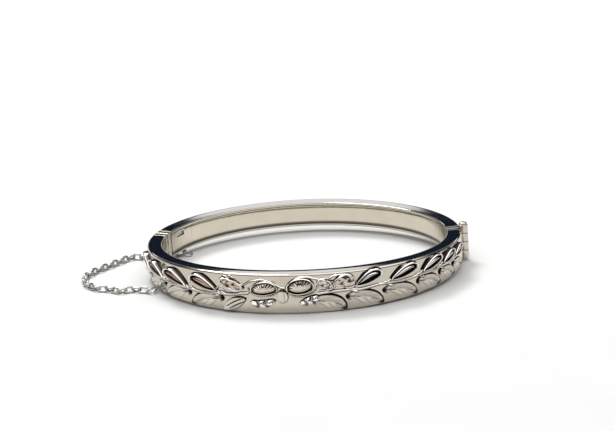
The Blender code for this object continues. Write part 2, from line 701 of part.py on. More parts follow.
def build_bangle():
    hinge_axis = (*HINGE_POINT, MID_HEIGHT)
    front_pivot = pivot("bangle_hinge_axis", hinge_axis)
    press_axis = (*FOLD_POINT, MID_HEIGHT)
    press_pivot = pivot("tongue_press_axis", press_axis)
    front_sheets, _ = build_halves()
    front_hinge, _ = build_hinge()
    mouth, _, sprung = build_clasp()
    front_rings, _, _ = build_chain()
    for piece in front_sheets + front_hinge + mouth + front_rings + build_ornament():
        adopt(piece, front_pivot, hinge_axis)
    for piece in sprung:
        adopt(piece, press_pivot, press_axis)


build_bangle()
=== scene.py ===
"""The looks of the hinged oval bangle: polished silver halves, leaf ornament, hinge, clasp and safety chain.

Sizes are in millimetres, as in the CAD model, and become metres where a mesh is made. The front half is at
-Y, the back half at +Y, the clasp at -X and the hinge at +X.
"""

import math

import bpy
import bmesh
import numpy as np
from mathutils import Matrix, Vector


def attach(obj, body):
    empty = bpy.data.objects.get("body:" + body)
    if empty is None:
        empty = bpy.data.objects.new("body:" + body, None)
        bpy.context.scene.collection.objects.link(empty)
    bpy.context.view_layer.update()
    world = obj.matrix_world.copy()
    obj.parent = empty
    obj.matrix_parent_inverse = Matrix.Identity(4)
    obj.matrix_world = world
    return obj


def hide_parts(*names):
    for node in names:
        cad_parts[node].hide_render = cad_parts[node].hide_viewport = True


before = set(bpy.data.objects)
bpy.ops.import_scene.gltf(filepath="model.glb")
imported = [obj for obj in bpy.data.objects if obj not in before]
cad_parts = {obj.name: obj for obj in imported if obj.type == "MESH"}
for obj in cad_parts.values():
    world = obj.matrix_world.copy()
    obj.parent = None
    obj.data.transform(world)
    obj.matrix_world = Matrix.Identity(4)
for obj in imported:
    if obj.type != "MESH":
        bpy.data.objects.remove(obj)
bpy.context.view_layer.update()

MM = 0.001
FULL_TURN = 2 * math.pi

# The oval band, as the CAD model has it, but with a smoother outer edge and a rim that isn't flat
HALF_LENGTH = 32.0
HALF_DEPTH = 27.0
BAND_THICKNESS = 3.0
HEIGHT_FRONT = 8.2
HEIGHT_SIDE = 6.04
HEIGHT_BACK = 5.15
MID_HEIGHT = 4.1
SHEET = 0.5
OUTER_EDGE = 0.45
INNER_EDGE = 0.2
SEAM_Y = 4.5
SEAM_GAP = 0.06
JOIN_GAP = 0.04
HINGE_BLOCK = 1.4
CLASP_BLOCK = 1.6
ANCHOR_PLATE = 8.0
HINGE_SEAM = math.asin(SEAM_Y / HALF_DEPTH)
CLASP_SEAM = math.pi - HINGE_SEAM
FRONT_CENTRE = 1.5 * math.pi
HINGE_EASE = 0.05
CLASP_EASE = 0.12
RIM_LEAN = 0.065
RIM_CROWN = 0.034
RIM_SHARES = (0.03, 0.25, 0.45, 0.65, 0.75, 0.97)
STATION_DEGREES = 1.25

# The hinge
BARREL_RADIUS = 0.95
BARREL_HEIGHT = 7.2
BARREL_STANDOFF = 0.45
BARREL_CLEARANCE = 0.08
KNUCKLES = 4
KNUCKLE_GAP = 0.05
PIN_RADIUS = 0.4
PIN_CLEARANCE = 0.05
PIN_HEAD_RADIUS = 0.8
PIN_HEAD = 0.45

# The box clasp
MOUTH_WALL = 0.5
MOUTH_HEIGHT = 3.8
TONGUE_LENGTH = 5.2
TONGUE_HEIGHT = 3.0
TONGUE_SHEET = 0.35
TONGUE_SPREAD = 0.42
SPRUNG_SHARE = 0.86
TONGUE_CLEARANCE = 0.12
THUMB_WIDTH = 1.0
THUMB_HEIGHT = 1.4
THUMB_RISE = 0.9
THUMB_CLEARANCE = 0.2
APERTURE_LENGTH = 3.0
APERTURE_HEIGHT = 0.9
APERTURE_DROP = 0.6
CATCH_SHARE = 0.94
CATCH_GAP = 0.06

# The safety chain
CHAIN_SEGMENTS = 8
CHAIN_LINKS = 30
LINK_LENGTH = 2.3
LINK_WIDTH = 1.55
LINK_WIRE = 0.24
LINK_TILT = math.radians(45)
LUG_RADIUS = 0.45
LUG_WIRE = 0.16
RING_RADIUS = 0.9
RING_WIRE = 0.19
CHAIN_CLEARANCE = 0.02
# One link lies a little further out, so that it passes the band when the bangle is open
CLEARED_LINK = 27
LINK_SHIFT = (-0.011, -0.079)
BACK_LUG = math.radians(154.0)
FRONT_LUG = math.radians(207.5)
CHAIN_ROUTE = [
    (-26.0, 10.2), (-28.9, 9.9), (-31.8, 8.9), (-34.9, 8.0), (-37.2, 8.2), (-38.8, 6.4), (-40.5, 3.9),
    (-42.2, 1.3), (-44.0, -1.7), (-44.8, -5.1), (-43.6, -9.0), (-41.1, -11.4), (-38.6, -12.0), (-36.2, -13.2),
    (-33.6, -12.4), (-31.4, -12.9), (-29.7, -13.2),
]

# The camera, in metres and degrees
CAMERA_DISTANCE = 0.601
CAMERA_AZIMUTH = 8.37
CAMERA_ELEVATION = 18.60
CAMERA_ROLL = -3.62
CAMERA_LENS = 172.9
AIM_RIGHT = 0.0003
AIM_UP = 0.0110

# The setting: its brightness and colours, and the sizes of floor and lamp in metres
WORLD_STRENGTH = 1.7
PAPER_GLOW = (0.52, 0.515, 0.50)
GAP_GLOW = (0.66, 0.70, 0.77)
DARK_CARD = (0.007, 0.010, 0.020)
DARK_ROOM = (0.016, 0.014, 0.016)
SOFTBOX_GLOW = (1.0, 1.0, 1.0)
FLOOR_COLOUR = (0.742, 0.742, 0.738)
FLOOR_REACH = 1.6
LAMP_PLACE = (-0.30, 0.45, 0.80)
LAMP_SIZE = 0.35
LAMP_WATTS = 4.6
# a rosy colour painted on the ornament as a reflection
REFLECTED_ROSE = (0.42, 0.25, 0.22)
# the near-white colour of painted highlights on the silver
HIGHLIGHT_PAINT = (0.95, 0.94, 0.93)
SCRATCH_DEPTH = 0.00002

# The sockets of a colour mix node
MIX_FIRST, MIX_SECOND, MIX_RESULT = 6, 7, 2


# ---- the camera and the setting

def make_camera():
    a, e, r = (math.radians(v) for v in (CAMERA_AZIMUTH, CAMERA_ELEVATION, CAMERA_ROLL))
    back = Vector((math.sin(a) * math.cos(e), -math.cos(a) * math.cos(e), math.sin(e)))
    right = (-back).cross(Vector((0, 0, 1))).normalized()
    up = right.cross(-back)
    right, up = math.cos(r) * right + math.sin(r) * up, math.cos(r) * up - math.sin(r) * right
    position = back * CAMERA_DISTANCE
    back = (position - (right * AIM_RIGHT + up * AIM_UP)).normalized()
    right = (right - back * right.dot(back)).normalized()
    up = back.cross(right)
    camera = bpy.data.objects.new("camera", bpy.data.cameras.new("camera"))
    bpy.context.scene.collection.objects.link(camera)
    camera.matrix_world = Matrix.Translation(position) @ Matrix((right, up, back)).transposed().to_4x4()
    camera.data.sensor_width = 36.0
    camera.data.lens = CAMERA_LENS
    camera.data.clip_start, camera.data.clip_end = 0.01, 20.0
    bpy.context.scene.camera = camera
    bpy.context.scene.view_settings.view_transform = "Standard"


def new_material(name):
    material = bpy.data.materials.new(name)
    material.use_nodes = True
    tree = material.node_tree
    return material, tree, tree.nodes["Principled BSDF"]


def add_node(tree, kind, **settings):
    node = tree.nodes.new(kind)
    for key, value in settings.items():
        setattr(node, key, value)
    return node


def blend(tree, factor, first, second):
    """A mix of two colours; the second is an output of another node, or a plain colour."""
    node = add_node(tree, "ShaderNodeMix", data_type="RGBA")
    tree.links.new(factor, node.inputs["Factor"])
    tree.links.new(first, node.inputs[MIX_FIRST])
    if isinstance(second, tuple):
        node.inputs[MIX_SECOND].default_value = (*second, 1.0)
    else:
        tree.links.new(second, node.inputs[MIX_SECOND])
    return node.outputs[MIX_RESULT]


def noise(tree, where, scale, detail=2.0):
    node = add_node(tree, "ShaderNodeTexNoise")
    node.inputs["Scale"].default_value = scale
    node.inputs["Detail"].default_value = detail
    tree.links.new(where, node.inputs["Vector"])
    return node.outputs["Fac"]


def coloured(tree, value, stops):
    """The colour that a ramp through (place, colour) stops gives for a value; a plain number is a grey."""
    node = add_node(tree, "ShaderNodeValToRGB")
    elements = node.color_ramp.elements
    elements.remove(elements[1])
    for k, (place, colour) in enumerate(stops):
        element = elements.new(place) if k else elements[0]
        element.position = place
        element.color = (*colour, 1.0) if isinstance(colour, tuple) else (colour, colour, colour, 1.0)
    tree.links.new(value, node.inputs[0])
    return node.outputs[0]


def halved(tree, value):
    """A value from -1 to 1, brought to 0 to 1."""
    node = add_node(tree, "ShaderNodeMath", operation="MULTIPLY_ADD")
    node.inputs[1].default_value = 0.5
    node.inputs[2].default_value = 0.5
    tree.links.new(value, node.inputs[0])
    return node.outputs[0]


def sky_place(degrees):
    return 0.5 + 0.5 * math.sin(math.radians(degrees))


def make_world():
    """A white sweep and a soft light overhead.

    Behind are a dark card, a bright gap above it and a dark room; in front is only a narrower dark room.
    """
    world = bpy.data.worlds.new("studio")
    world.use_nodes = True
    bpy.context.scene.world = world
    tree = world.node_tree
    shade = tree.nodes["Background"]
    where = add_node(tree, "ShaderNodeTexCoord")
    parts = add_node(tree, "ShaderNodeSeparateXYZ")
    tree.links.new(where.outputs["Generated"], parts.inputs[0])
    height = halved(tree, parts.outputs["Z"])
    behind = coloured(tree, height, [
        (0.0, PAPER_GLOW),
        (sky_place(8.5), PAPER_GLOW),
        (sky_place(10.5), DARK_CARD),
        (sky_place(18.7), DARK_CARD),
        (sky_place(19.2), GAP_GLOW),
        (sky_place(22.5), GAP_GLOW),
        (sky_place(24.0), DARK_ROOM),
        (sky_place(42), DARK_ROOM),
        (sky_place(50), SOFTBOX_GLOW),
        (1.0, SOFTBOX_GLOW),
    ])
    near = coloured(tree, height, [
        (0.0, PAPER_GLOW),
        (sky_place(9), PAPER_GLOW),
        (sky_place(12), DARK_ROOM),
        (sky_place(34), DARK_ROOM),
        (sky_place(41), SOFTBOX_GLOW),
        (1.0, SOFTBOX_GLOW),
    ])
    ahead = coloured(tree, halved(tree, parts.outputs["Y"]), [(0.35, 0.0), (0.5, 1.0)])
    tree.links.new(blend(tree, ahead, near, behind), shade.inputs["Color"])
    shade.inputs["Strength"].default_value = WORLD_STRENGTH


def make_floor():
    mesh = bpy.data.meshes.new("floor")
    corners = [(-1, -1), (1, -1), (1, 1), (-1, 1)]
    mesh.from_pydata([(x * FLOOR_REACH, y * FLOOR_REACH, 0) for x, y in corners], [], [(0, 1, 2, 3)])
    floor = bpy.data.objects.new("floor", mesh)
    bpy.context.scene.collection.objects.link(floor)
    material, tree, shader = new_material("paper")
    where = add_node(tree, "ShaderNodeTexCoord")
    speckle = noise(tree, where.outputs["Object"], 60.0)
    tone = coloured(tree, speckle, [(0.3, tuple(0.985 * c for c in FLOOR_COLOUR)), (0.7, FLOOR_COLOUR)])
    tree.links.new(tone, shader.inputs["Base Color"])
    shader.inputs["Roughness"].default_value = 0.9
    shader.inputs["Specular IOR Level"].default_value = 0.1
    mesh.materials.append(material)


def make_lamp():
    lamp = bpy.data.lights.new("softbox", "AREA")
    lamp.shape = "DISK"
    lamp.size = LAMP_SIZE
    lamp.energy = LAMP_WATTS
    light = bpy.data.objects.new("softbox", lamp)
    bpy.context.scene.collection.objects.link(light)
    light.location = LAMP_PLACE
    light.rotation_mode = "QUATERNION"
    light.rotation_quaternion = (-Vector(LAMP_PLACE)).to_track_quat("-Z", "Y")


# ---- materials

def silver(name, colour, dark, roughness, scratch, grain=900.0):
    """Polished silver with cloudy wear and hairline scratches.

    A point attribute at 1 gives the dark colour, for tarnish in hollows and for painted shade, and at -1 a
    painted highlight; a second point attribute paints a rosy reflection.
    """
    material, tree, shader = new_material(name)
    where = add_node(tree, "ShaderNodeTexCoord").outputs["Object"]
    # point attribute: at 1 the dark colour, tarnish in hollows and painted shade; at -1 a painted highlight
    tarnish_and_painted_light = add_node(tree, "ShaderNodeAttribute", attribute_name="tarnish_and_painted_light").outputs["Fac"]
    # a second point attribute paints a rosy reflection
    rosy_reflection = add_node(tree, "ShaderNodeAttribute", attribute_name="rosy_reflection").outputs["Fac"]
    # where the point attribute is below 0, a painted highlight whitens the colour
    highlight_share = add_node(tree, "ShaderNodeMath", operation="MULTIPLY", use_clamp=True)
    highlight_share.inputs[1].default_value = -1.0
    tree.links.new(tarnish_and_painted_light, highlight_share.inputs[0])
    cloud = noise(tree, where, grain * 0.35, 5.0)
    tone = coloured(tree, cloud, [(0.3, tuple(0.93 * c for c in colour)), (0.7, colour)])
    rosy = blend(tree, rosy_reflection, blend(tree, tarnish_and_painted_light, tone, dark), REFLECTED_ROSE)
    tree.links.new(blend(tree, highlight_share.outputs[0], rosy, HIGHLIGHT_PAINT), shader.inputs["Base Color"])
    gloss = coloured(tree, cloud, [(0.25, roughness * 0.6), (0.8, roughness * 1.5)])
    tree.links.new(gloss, shader.inputs["Roughness"])
    stretch = add_node(tree, "ShaderNodeMapping")
    stretch.inputs["Scale"].default_value = (1.0, 1.0, 9.0)
    tree.links.new(where, stretch.inputs["Vector"])
    bump = add_node(tree, "ShaderNodeBump")
    bump.inputs["Strength"].default_value = scratch
    bump.inputs["Distance"].default_value = SCRATCH_DEPTH
    tree.links.new(noise(tree, stretch.outputs[0], grain, 3.0), bump.inputs["Height"])
    tree.links.new(bump.outputs[0], shader.inputs["Normal"])
    shader.inputs["Metallic"].default_value = 1.0
    return material


# Dark colours for tarnish in hollows and for painted shade
TARNISH_AND_SHADE = (0.05, 0.04, 0.035)
DEEP_TARNISH_AND_SHADE = (0.018, 0.012, 0.013)
SILVER = {name: silver(name, *look) for name, look in {
    "polished_silver": ((0.58, 0.53, 0.45), TARNISH_AND_SHADE, 0.05, 0.06),
    "inner_silver": ((0.635, 0.58, 0.478), TARNISH_AND_SHADE, 0.10, 0.12),
    "ornament_silver": ((0.645, 0.59, 0.515), DEEP_TARNISH_AND_SHADE, 0.09, 0.15, 1400.0),
    "hinge_silver": ((0.57, 0.53, 0.46), TARNISH_AND_SHADE, 0.15, 0.25),
    "spring_silver": ((0.46, 0.44, 0.41), TARNISH_AND_SHADE, 0.25, 0.35),
    "chain_silver": ((0.54, 0.53, 0.51), TARNISH_AND_SHADE, 0.12, 0.2, 1600.0),
}.items()}


# ---- meshes

def closed_mesh(name, points, faces, layers=()):
    """A mesh in metres from points in millimetres, facing out, with (name, values) layers on its points."""
    mesh = bpy.data.meshes.new(name)
    mesh.from_pydata((np.asarray(points, float) * MM).tolist(), [], faces)
    for layer_name, values in layers:
        if values is not None:
            layer = mesh.attributes.new(layer_name, "FLOAT", "POINT")
            layer.data.foreach_set("value", np.asarray(values, np.float32))
    work = bmesh.new()
    work.from_mesh(mesh)
    bmesh.ops.recalc_face_normals(work, faces=work.faces)
    work.to_mesh(mesh)
    work.free()
    return mesh


def make_piece(name, points, faces, slot, body, nodes=(), smooth_degrees=35.0, tarnish_and_painted_light=None, rosy_reflection=None):
    """A finished piece: smooth, in its silver, riding on a body in place of its CAD nodes."""
    mesh = closed_mesh(name, points, faces, (("tarnish_and_painted_light", tarnish_and_painted_light), ("rosy_reflection", rosy_reflection)))
    finish_mesh(mesh, SILVER[slot], smooth_degrees)
    piece = bpy.data.objects.new(name, mesh)
    bpy.context.scene.collection.objects.link(piece)
    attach(piece, body)
    if nodes:
        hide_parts(*nodes)
    return piece


def finish_mesh(mesh, material, smooth_degrees):
    mesh.materials.clear()
    mesh.materials.append(material)
    mesh.shade_smooth()
    mesh.set_sharp_from_angle(angle=math.radians(smooth_degrees))


def strip_faces(rows, columns):
    """Quads over a grid of points stored row by row, each row a closed ring."""
    faces = []
    for r in range(rows - 1):
        low, high = r * columns, (r + 1) * columns
        for c in range(columns):
            after = (c + 1) % columns
            faces.append((low + c, low + after, high + after, high + c))
    return faces


def tube_faces(rows, columns):
    """The same, with the last row joined to the first."""
    return [tuple(i % (rows * columns) for i in face) for face in strip_faces(rows + 1, columns)]


def lofted(loops):
    """Points and faces of a closed solid through loops, with capped ends."""
    loops = np.asarray(loops, float)
    rows, columns = loops.shape[:2]
    faces = strip_faces(rows, columns)
    faces.append(tuple(range(columns)))
    faces.append(tuple(range((rows - 1) * columns, rows * columns)))
    return loops.reshape(-1, 3), faces


def joined(parts):
    points, faces, count = [], [], 0
    for part_points, part_faces in parts:
        points.append(np.asarray(part_points, float))
        faces += [tuple(count + i for i in face) for face in part_faces]
        count += len(part_points)
    return np.vstack(points), faces


def cut_away(piece, *guides):
    """Takes each guide's solid out of the piece, for good, and shades it again."""
    material = piece.data.materials[0]
    for points, faces in guides:
        guide = bpy.data.objects.new("guide", closed_mesh("guide", points, faces))
        bpy.context.scene.collection.objects.link(guide)
        modifier = piece.modifiers.new("cut", "BOOLEAN")
        modifier.operation = "DIFFERENCE"
        modifier.object = guide
        bpy.context.view_layer.update()
        evaluated = piece.evaluated_get(bpy.context.evaluated_depsgraph_get())
        result = bpy.data.meshes.new_from_object(evaluated)
        piece.modifiers.clear()
        piece.data = result
        bpy.data.objects.remove(guide)
    finish_mesh(piece.data, material, 35.0)


BOX_FACES = [(0, 1, 3, 2), (4, 5, 7, 6), (0, 1, 5, 4), (2, 3, 7, 6), (0, 2, 6, 4), (1, 3, 7, 5)]


def box_points(x_range, y_range, z_range):
    return [(x, y, z) for x in x_range for y in y_range for z in z_range]


def smooth_curve(marks, per_span=10):
    """A Catmull-Rom curve through marks of any dimension."""
    marks = np.array(marks, float)
    padded = np.vstack([2 * marks[0] - marks[1], marks, 2 * marks[-1] - marks[-2]])
    points = []
    for k in range(1, len(padded) - 2):
        p0, p1, p2, p3 = padded[k - 1 : k + 3]
        for t in np.linspace(0, 1, per_span, endpoint=False):
            cubic = 2 * p1 + (p2 - p0) * t + (2 * p0 - 5 * p1 + 4 * p2 - p3) * t**2
            points.append((cubic + (3 * p1 - p0 - 3 * p2 + p3) * t**3) / 2)
    points.append(marks[-1])
    return np.array(points)


def lengths_along(points):
    return np.concatenate([[0.0], np.cumsum(np.linalg.norm(np.diff(points, axis=0), axis=1))])


def on_curve(points, distance):
    lengths = lengths_along(points)
    return np.array([np.interp(distance, lengths, points[:, k]) for k in range(points.shape[1])])


# ---- the oval

def outer_point(angle):
    return np.array([HALF_LENGTH * math.cos(angle), HALF_DEPTH * math.sin(angle)])


def outer_normal(angle):
    normal = np.array([math.cos(angle) / HALF_LENGTH, math.sin(angle) / HALF_DEPTH])
    return normal / np.linalg.norm(normal)


def angle_step(angle, length):
    return length / math.hypot(HALF_LENGTH * math.sin(angle), HALF_DEPTH * math.cos(angle))


def band_height(y):
    share = y / HALF_DEPTH
    slope = (HEIGHT_BACK - HEIGHT_FRONT) / 2
    bow = (HEIGHT_FRONT + HEIGHT_BACK) / 2 - HEIGHT_SIDE
    return HEIGHT_SIDE + slope * share + bow * share * share


def half_height(angle):
    return band_height(outer_point(angle)[1]) / 2


def band_point(angle, depth, z):
    x, y = outer_point(angle) - depth * outer_normal(angle)
    return (x, y, z)


def band_box(angles, depths, levels):
    """The corners of a box that follows the band."""
    return [band_point(angle, depth, z) for angle in angles for depth in depths for z in levels]


def arc_table():
    angles = np.linspace(CLASP_SEAM, HINGE_SEAM + FULL_TURN, 1441)
    lengths = lengths_along(np.array([outer_point(a) for a in angles]))
    return angles, lengths - np.interp(FRONT_CENTRE, angles, lengths)


ARC_ANGLES, ARC_LENGTHS = arc_table()


def on_wall(along, up, rise):
    """Points on the front wall, from how far along it, up from the floor and out from its face they are."""
    angle = np.interp(along, ARC_LENGTHS, ARC_ANGLES)
    x, y = HALF_LENGTH * np.cos(angle), HALF_DEPTH * np.sin(angle)
    nx, ny = np.cos(angle) / HALF_LENGTH, np.sin(angle) / HALF_DEPTH
    size = np.hypot(nx, ny)
    return np.stack([x + rise * nx / size, y + rise * ny / size, np.broadcast_to(up, np.shape(x))], axis=-1)


# ---- the two halves

def arc(radius, start, end, count):
    angles = np.radians(np.linspace(start, end, count))
    return [(radius * math.cos(a), radius * math.sin(a)) for a in angles]


def rim_outline(half):
    """Half of the outside of the section, from the middle of the outer wall over the rim to the wrist side.

    The rim leans in at the back; towards the front it is crowned, most of it leaning out.
    """
    crown = max(0.0, (2 * half - HEIGHT_SIDE) / (HEIGHT_FRONT - HEIGHT_SIDE))
    outer = half - RIM_CROWN * crown
    wall = [(0.0, half * share) for share in (0.0, 0.35, 0.7)] + [(0.0, outer - OUTER_EDGE - 0.03)]
    bend = [(OUTER_EDGE - x, outer - OUTER_EDGE + y) for x, y in arc(OUTER_EDGE, 0, 87, 9)]
    low, high = OUTER_EDGE, BAND_THICKNESS - INNER_EDGE
    drops = [RIM_LEAN * share * (1 - crown) + crown * np.interp(share, (0, 0.7, 1), (RIM_CROWN, 0, RIM_CROWN))
             for share in RIM_SHARES]
    top = [(low + (high - low) * share, half - drop) for share, drop in zip(RIM_SHARES, drops)]
    lip = [(high + x, half - drops[-1] - INNER_EDGE + y) for x, y in arc(INNER_EDGE, 86, 0, 5)]
    return wall + bend + top + lip


def shell_section(angle):
    half = half_height(angle)
    outside = rim_outline(half)
    lips = [(BAND_THICKNESS, half - SHEET), (SHEET, half - SHEET)]
    ring = [(d, -z) for d, z in reversed(outside)][:-1] + outside
    return ring + lips + [(d, -z) for d, z in reversed(lips)]


def block_section(angle):
    outside = rim_outline(half_height(angle))
    return [(d, -z) for d, z in reversed(outside)][:-1] + outside


def liner_section(angle):
    half = half_height(angle) - SHEET - JOIN_GAP
    inner, outer, bend = BAND_THICKNESS, BAND_THICKNESS - SHEET, 0.12
    top = [(outer, half), (inner - bend, half), (inner - bend * 0.3, half - bend * 0.3), (inner, half - bend)]
    face = [(inner + 0.02, half * share) for share in (0.5, 0.0, -0.5, -0.64, -0.78)]
    return top + face + [(d, -z) for d, z in reversed(top)]


# Darkening for each point of the liner's section: a dark joint line at the top, and painted shade with a
# painted dark reflection along the lower part of the inner wall
LINER_JOINT_AND_SHADE = [0.0, 0.5, 0.3, 0.0, 0.0, 0.0, 0.0, 0.06, 0.85, 0.9, 0.7, 0.5, 0.0]


def sweep_band(name, start, end, section, slot, body, nodes, ease=0.0, tarnish_and_painted_light=None):
    """Sweeps a section along the oval; ease rounds both ends; the tarnish and painted light values, if given,
    have one value for each section point.
    """
    steps = max(3, math.ceil(math.degrees(end - start) / STATION_DEGREES))
    stations = [(start + (end - start) * k / steps, 0.0) for k in range(steps + 1)]
    if ease:
        step = angle_step(start, ease)
        inner = [(start + (end - start - 2 * step) * k / steps + step, 0.0) for k in range(steps + 1)]
        round_off = [(step * (1 - math.sin(a)), ease * (1 - math.cos(a))) for a in np.radians((90, 60, 30))]
        stations = [(start + along, inset) for along, inset in round_off] + inner
        stations += [(end - along, inset) for along, inset in reversed(round_off)]
    loops = []
    for angle, inset in stations:
        section_points = np.array(section(angle))
        middle, reach = section_points.mean(axis=0), np.ptp(section_points, axis=0) / 2
        section_points = middle + (section_points - middle) * (1 - inset / reach)
        loops.append([band_point(angle, depth, MID_HEIGHT + z) for depth, z in section_points])
    points, faces = lofted(loops)
    if tarnish_and_painted_light is not None:
        tarnish_and_painted_light = np.tile(tarnish_and_painted_light, len(stations))
    return make_piece(name, points, faces, slot, body, nodes, tarnish_and_painted_light=tarnish_and_painted_light)


def seam_space(angle):
    return angle_step(angle, SEAM_GAP / 2)


def half_limits(start, end, first_block, last_block):
    low = start + seam_space(start) + angle_step(start, first_block + JOIN_GAP)
    high = end - seam_space(end) - angle_step(end, last_block + JOIN_GAP)
    return low, high


HINGE_POINT = outer_point(HINGE_SEAM) + BARREL_STANDOFF * outer_normal(HINGE_SEAM)


def make_halves():
    low, high = half_limits(CLASP_SEAM, HINGE_SEAM + FULL_TURN, CLASP_BLOCK, HINGE_BLOCK)
    sweep_band("front_shell", low, high, shell_section, "polished_silver", "front_half",
               ["front_outer_shell"])
    sweep_band("front_liner", low, high, liner_section, "inner_silver", "front_half", ["front_inner_liner"],
               tarnish_and_painted_light=LINER_JOINT_AND_SHADE)
    low, high = half_limits(HINGE_SEAM, CLASP_SEAM, HINGE_BLOCK, CLASP_BLOCK)
    plate_low = high - angle_step(high, ANCHOR_PLATE)
    sweep_band("back_shell", low, high, shell_section, "polished_silver", "back_half", ["back_outer_shell"])
    sweep_band("back_liner", low, plate_low, liner_section, "inner_silver", "back_half", ["back_inner_liner"],
               tarnish_and_painted_light=LINER_JOINT_AND_SHADE)
    plate_low += angle_step(plate_low, JOIN_GAP)
    plate = sweep_band("anchor_plate", plate_low, high, liner_section, "inner_silver", "back_half",
                       ["tongue_anchor_plate"], tarnish_and_painted_light=LINER_JOINT_AND_SHADE)
    middle = (plate_low + high) / 2
    reach = angle_step(middle, APERTURE_LENGTH / 2)
    top = MID_HEIGHT + half_height(middle) - SHEET - APERTURE_DROP
    behind = BAND_THICKNESS - 2 * SHEET
    corners = band_box((middle - reach, middle + reach), (behind, BAND_THICKNESS + SHEET),
                       (top - APERTURE_HEIGHT, top))
    cut_away(plate, (corners, BOX_FACES))
    reach *= CATCH_SHARE
    corners = band_box((middle - reach, middle + reach), (behind, BAND_THICKNESS - 0.55 * SHEET),
                       (top - APERTURE_HEIGHT + CATCH_GAP, top - CATCH_GAP))
    make_piece("aperture_catch", corners, BOX_FACES, "spring_silver", "back_half")


# ---- the hinge

def turned(outline, centre, sides=64):
    """Rings about a vertical line, one for each (radius, z) pair."""
    turns = [FULL_TURN * k / sides for k in range(sides)]
    loops = [[(centre[0] + r * math.cos(a), centre[1] + r * math.sin(a), z) for a in turns]
             for r, z in outline]
    return np.array(loops)


def make_hinge():
    start = HINGE_SEAM + seam_space(HINGE_SEAM)
    reach = BARREL_RADIUS + BARREL_CLEARANCE
    notch = lofted(turned([(reach, -5), (reach, 15)], HINGE_POINT))
    block = sweep_band("back_hinge_end", start, start + angle_step(start, HINGE_BLOCK), block_section,
                       "polished_silver", "back_half", ["back_hinge_block"], ease=HINGE_EASE)
    cut_away(block, notch)
    end = HINGE_SEAM - seam_space(HINGE_SEAM)
    block = sweep_band("front_hinge_end", end - angle_step(end, HINGE_BLOCK), end, block_section,
                       "polished_silver", "front_half", ["front_hinge_block"], ease=HINGE_EASE)
    cut_away(block, notch)
    pitch = BARREL_HEIGHT / KNUCKLES
    soft = 0.12
    bore = PIN_RADIUS + PIN_CLEARANCE
    for k in range(KNUCKLES):
        low = MID_HEIGHT - BARREL_HEIGHT / 2 + k * pitch + KNUCKLE_GAP / 2
        high = low + pitch - KNUCKLE_GAP
        outline = [(bore, low), (BARREL_RADIUS - soft, low)]
        outline += [(BARREL_RADIUS - soft + x, low + soft + y) for x, y in arc(soft, -90, 0, 5)]
        outline += [(BARREL_RADIUS - soft + x, high - soft + y) for x, y in arc(soft, 0, 90, 5)]
        outline += [(bore, high)]
        loops = turned(outline, HINGE_POINT)
        side = "front" if k % 2 else "back"
        make_piece(f"{side}_knuckle_tube_{k // 2 + 1}", loops.reshape(-1, 3), tube_faces(*loops.shape[:2]),
                   "hinge_silver", f"{side}_half", [f"{side}_knuckle_{k // 2 + 1}"])
    make_pin()


def make_pin():
    low = MID_HEIGHT - BARREL_HEIGHT / 2 - KNUCKLE_GAP / 2
    high = MID_HEIGHT + BARREL_HEIGHT / 2 + KNUCKLE_GAP / 2
    foot = low - PIN_HEAD - KNUCKLE_GAP / 2
    outline = [(0.5, foot), (0.72, foot + 0.01), (PIN_HEAD_RADIUS, foot + 0.1), (PIN_HEAD_RADIUS, low - 0.03),
               (PIN_HEAD_RADIUS - 0.05, low), (PIN_RADIUS, low), (PIN_RADIUS, high),
               (PIN_HEAD_RADIUS - 0.05, high), (PIN_HEAD_RADIUS, high + 0.04)]
    outline += [(PIN_HEAD_RADIUS * math.cos(a), high + 0.1 + (PIN_HEAD - 0.1) * math.sin(a))
                for a in np.radians(np.linspace(0, 80, 8))]
    points, faces = lofted(turned(outline, HINGE_POINT))
    make_piece("hinge_pin_turned", points, faces, "hinge_silver", "back_half", ["hinge_pin"])


# ---- the clasp

CLASP_CENTRE = band_point(CLASP_SEAM, BAND_THICKNESS / 2, MID_HEIGHT)
TONGUE_X = -(HALF_LENGTH - BAND_THICKNESS + SHEET + TONGUE_CLEARANCE + TONGUE_SHEET)
FOLD_Y = CLASP_CENTRE[1] - TONGUE_LENGTH
THUMB_Y = SEAM_Y - THUMB_CLEARANCE - THUMB_WIDTH / 2
THUMB_Z = MID_HEIGHT + 0.9


def make_clasp():
    start = CLASP_SEAM + seam_space(CLASP_SEAM)
    mouth = sweep_band("clasp_mouth", start, start + angle_step(start, CLASP_BLOCK), block_section,
                       "polished_silver", "front_half", ["clasp_box_mouth"], ease=CLASP_EASE)
    reach = angle_step(start, CLASP_BLOCK), angle_step(start, 2 * CLASP_BLOCK)
    corners = band_box((start - reach[0], start + reach[1]), (MOUTH_WALL, BAND_THICKNESS - MOUTH_WALL),
                       (MID_HEIGHT - MOUTH_HEIGHT / 2, MID_HEIGHT + MOUTH_HEIGHT / 2))
    slot_x = (CLASP_CENTRE[0] - BAND_THICKNESS, CLASP_CENTRE[0] - BAND_THICKNESS / 4)
    slot_y = (THUMB_Y - THUMB_WIDTH / 2 - THUMB_CLEARANCE, SEAM_Y + CLASP_BLOCK)
    slot_z = (THUMB_Z - THUMB_HEIGHT / 2 - THUMB_CLEARANCE, THUMB_Z + THUMB_HEIGHT / 2 + THUMB_CLEARANCE)
    cut_away(mouth, (corners, BOX_FACES), (box_points(slot_x, slot_y, slot_z), BOX_FACES))
    end = CLASP_SEAM - seam_space(CLASP_SEAM)
    sweep_band("tongue_end", end - angle_step(end, CLASP_BLOCK), end, block_section, "polished_silver",
               "back_half", ["tongue_end_block"], ease=CLASP_EASE)
    make_tongue()
    make_thumb_piece()


def folded_sheet(outline, low, high):
    """An upright strip from a flat outline, with its top and bottom edges eased."""
    outline = np.array(outline, float)
    centre = outline.mean(axis=0)
    ease = 0.05
    loops = []
    for z, share in ((low, 0.98), (low + ease, 1), (high - ease, 1), (high, 0.98)):
        inset = centre + (outline - centre) * share
        loops.append([(x, y, z) for x, y in inset])
    return lofted(loops)


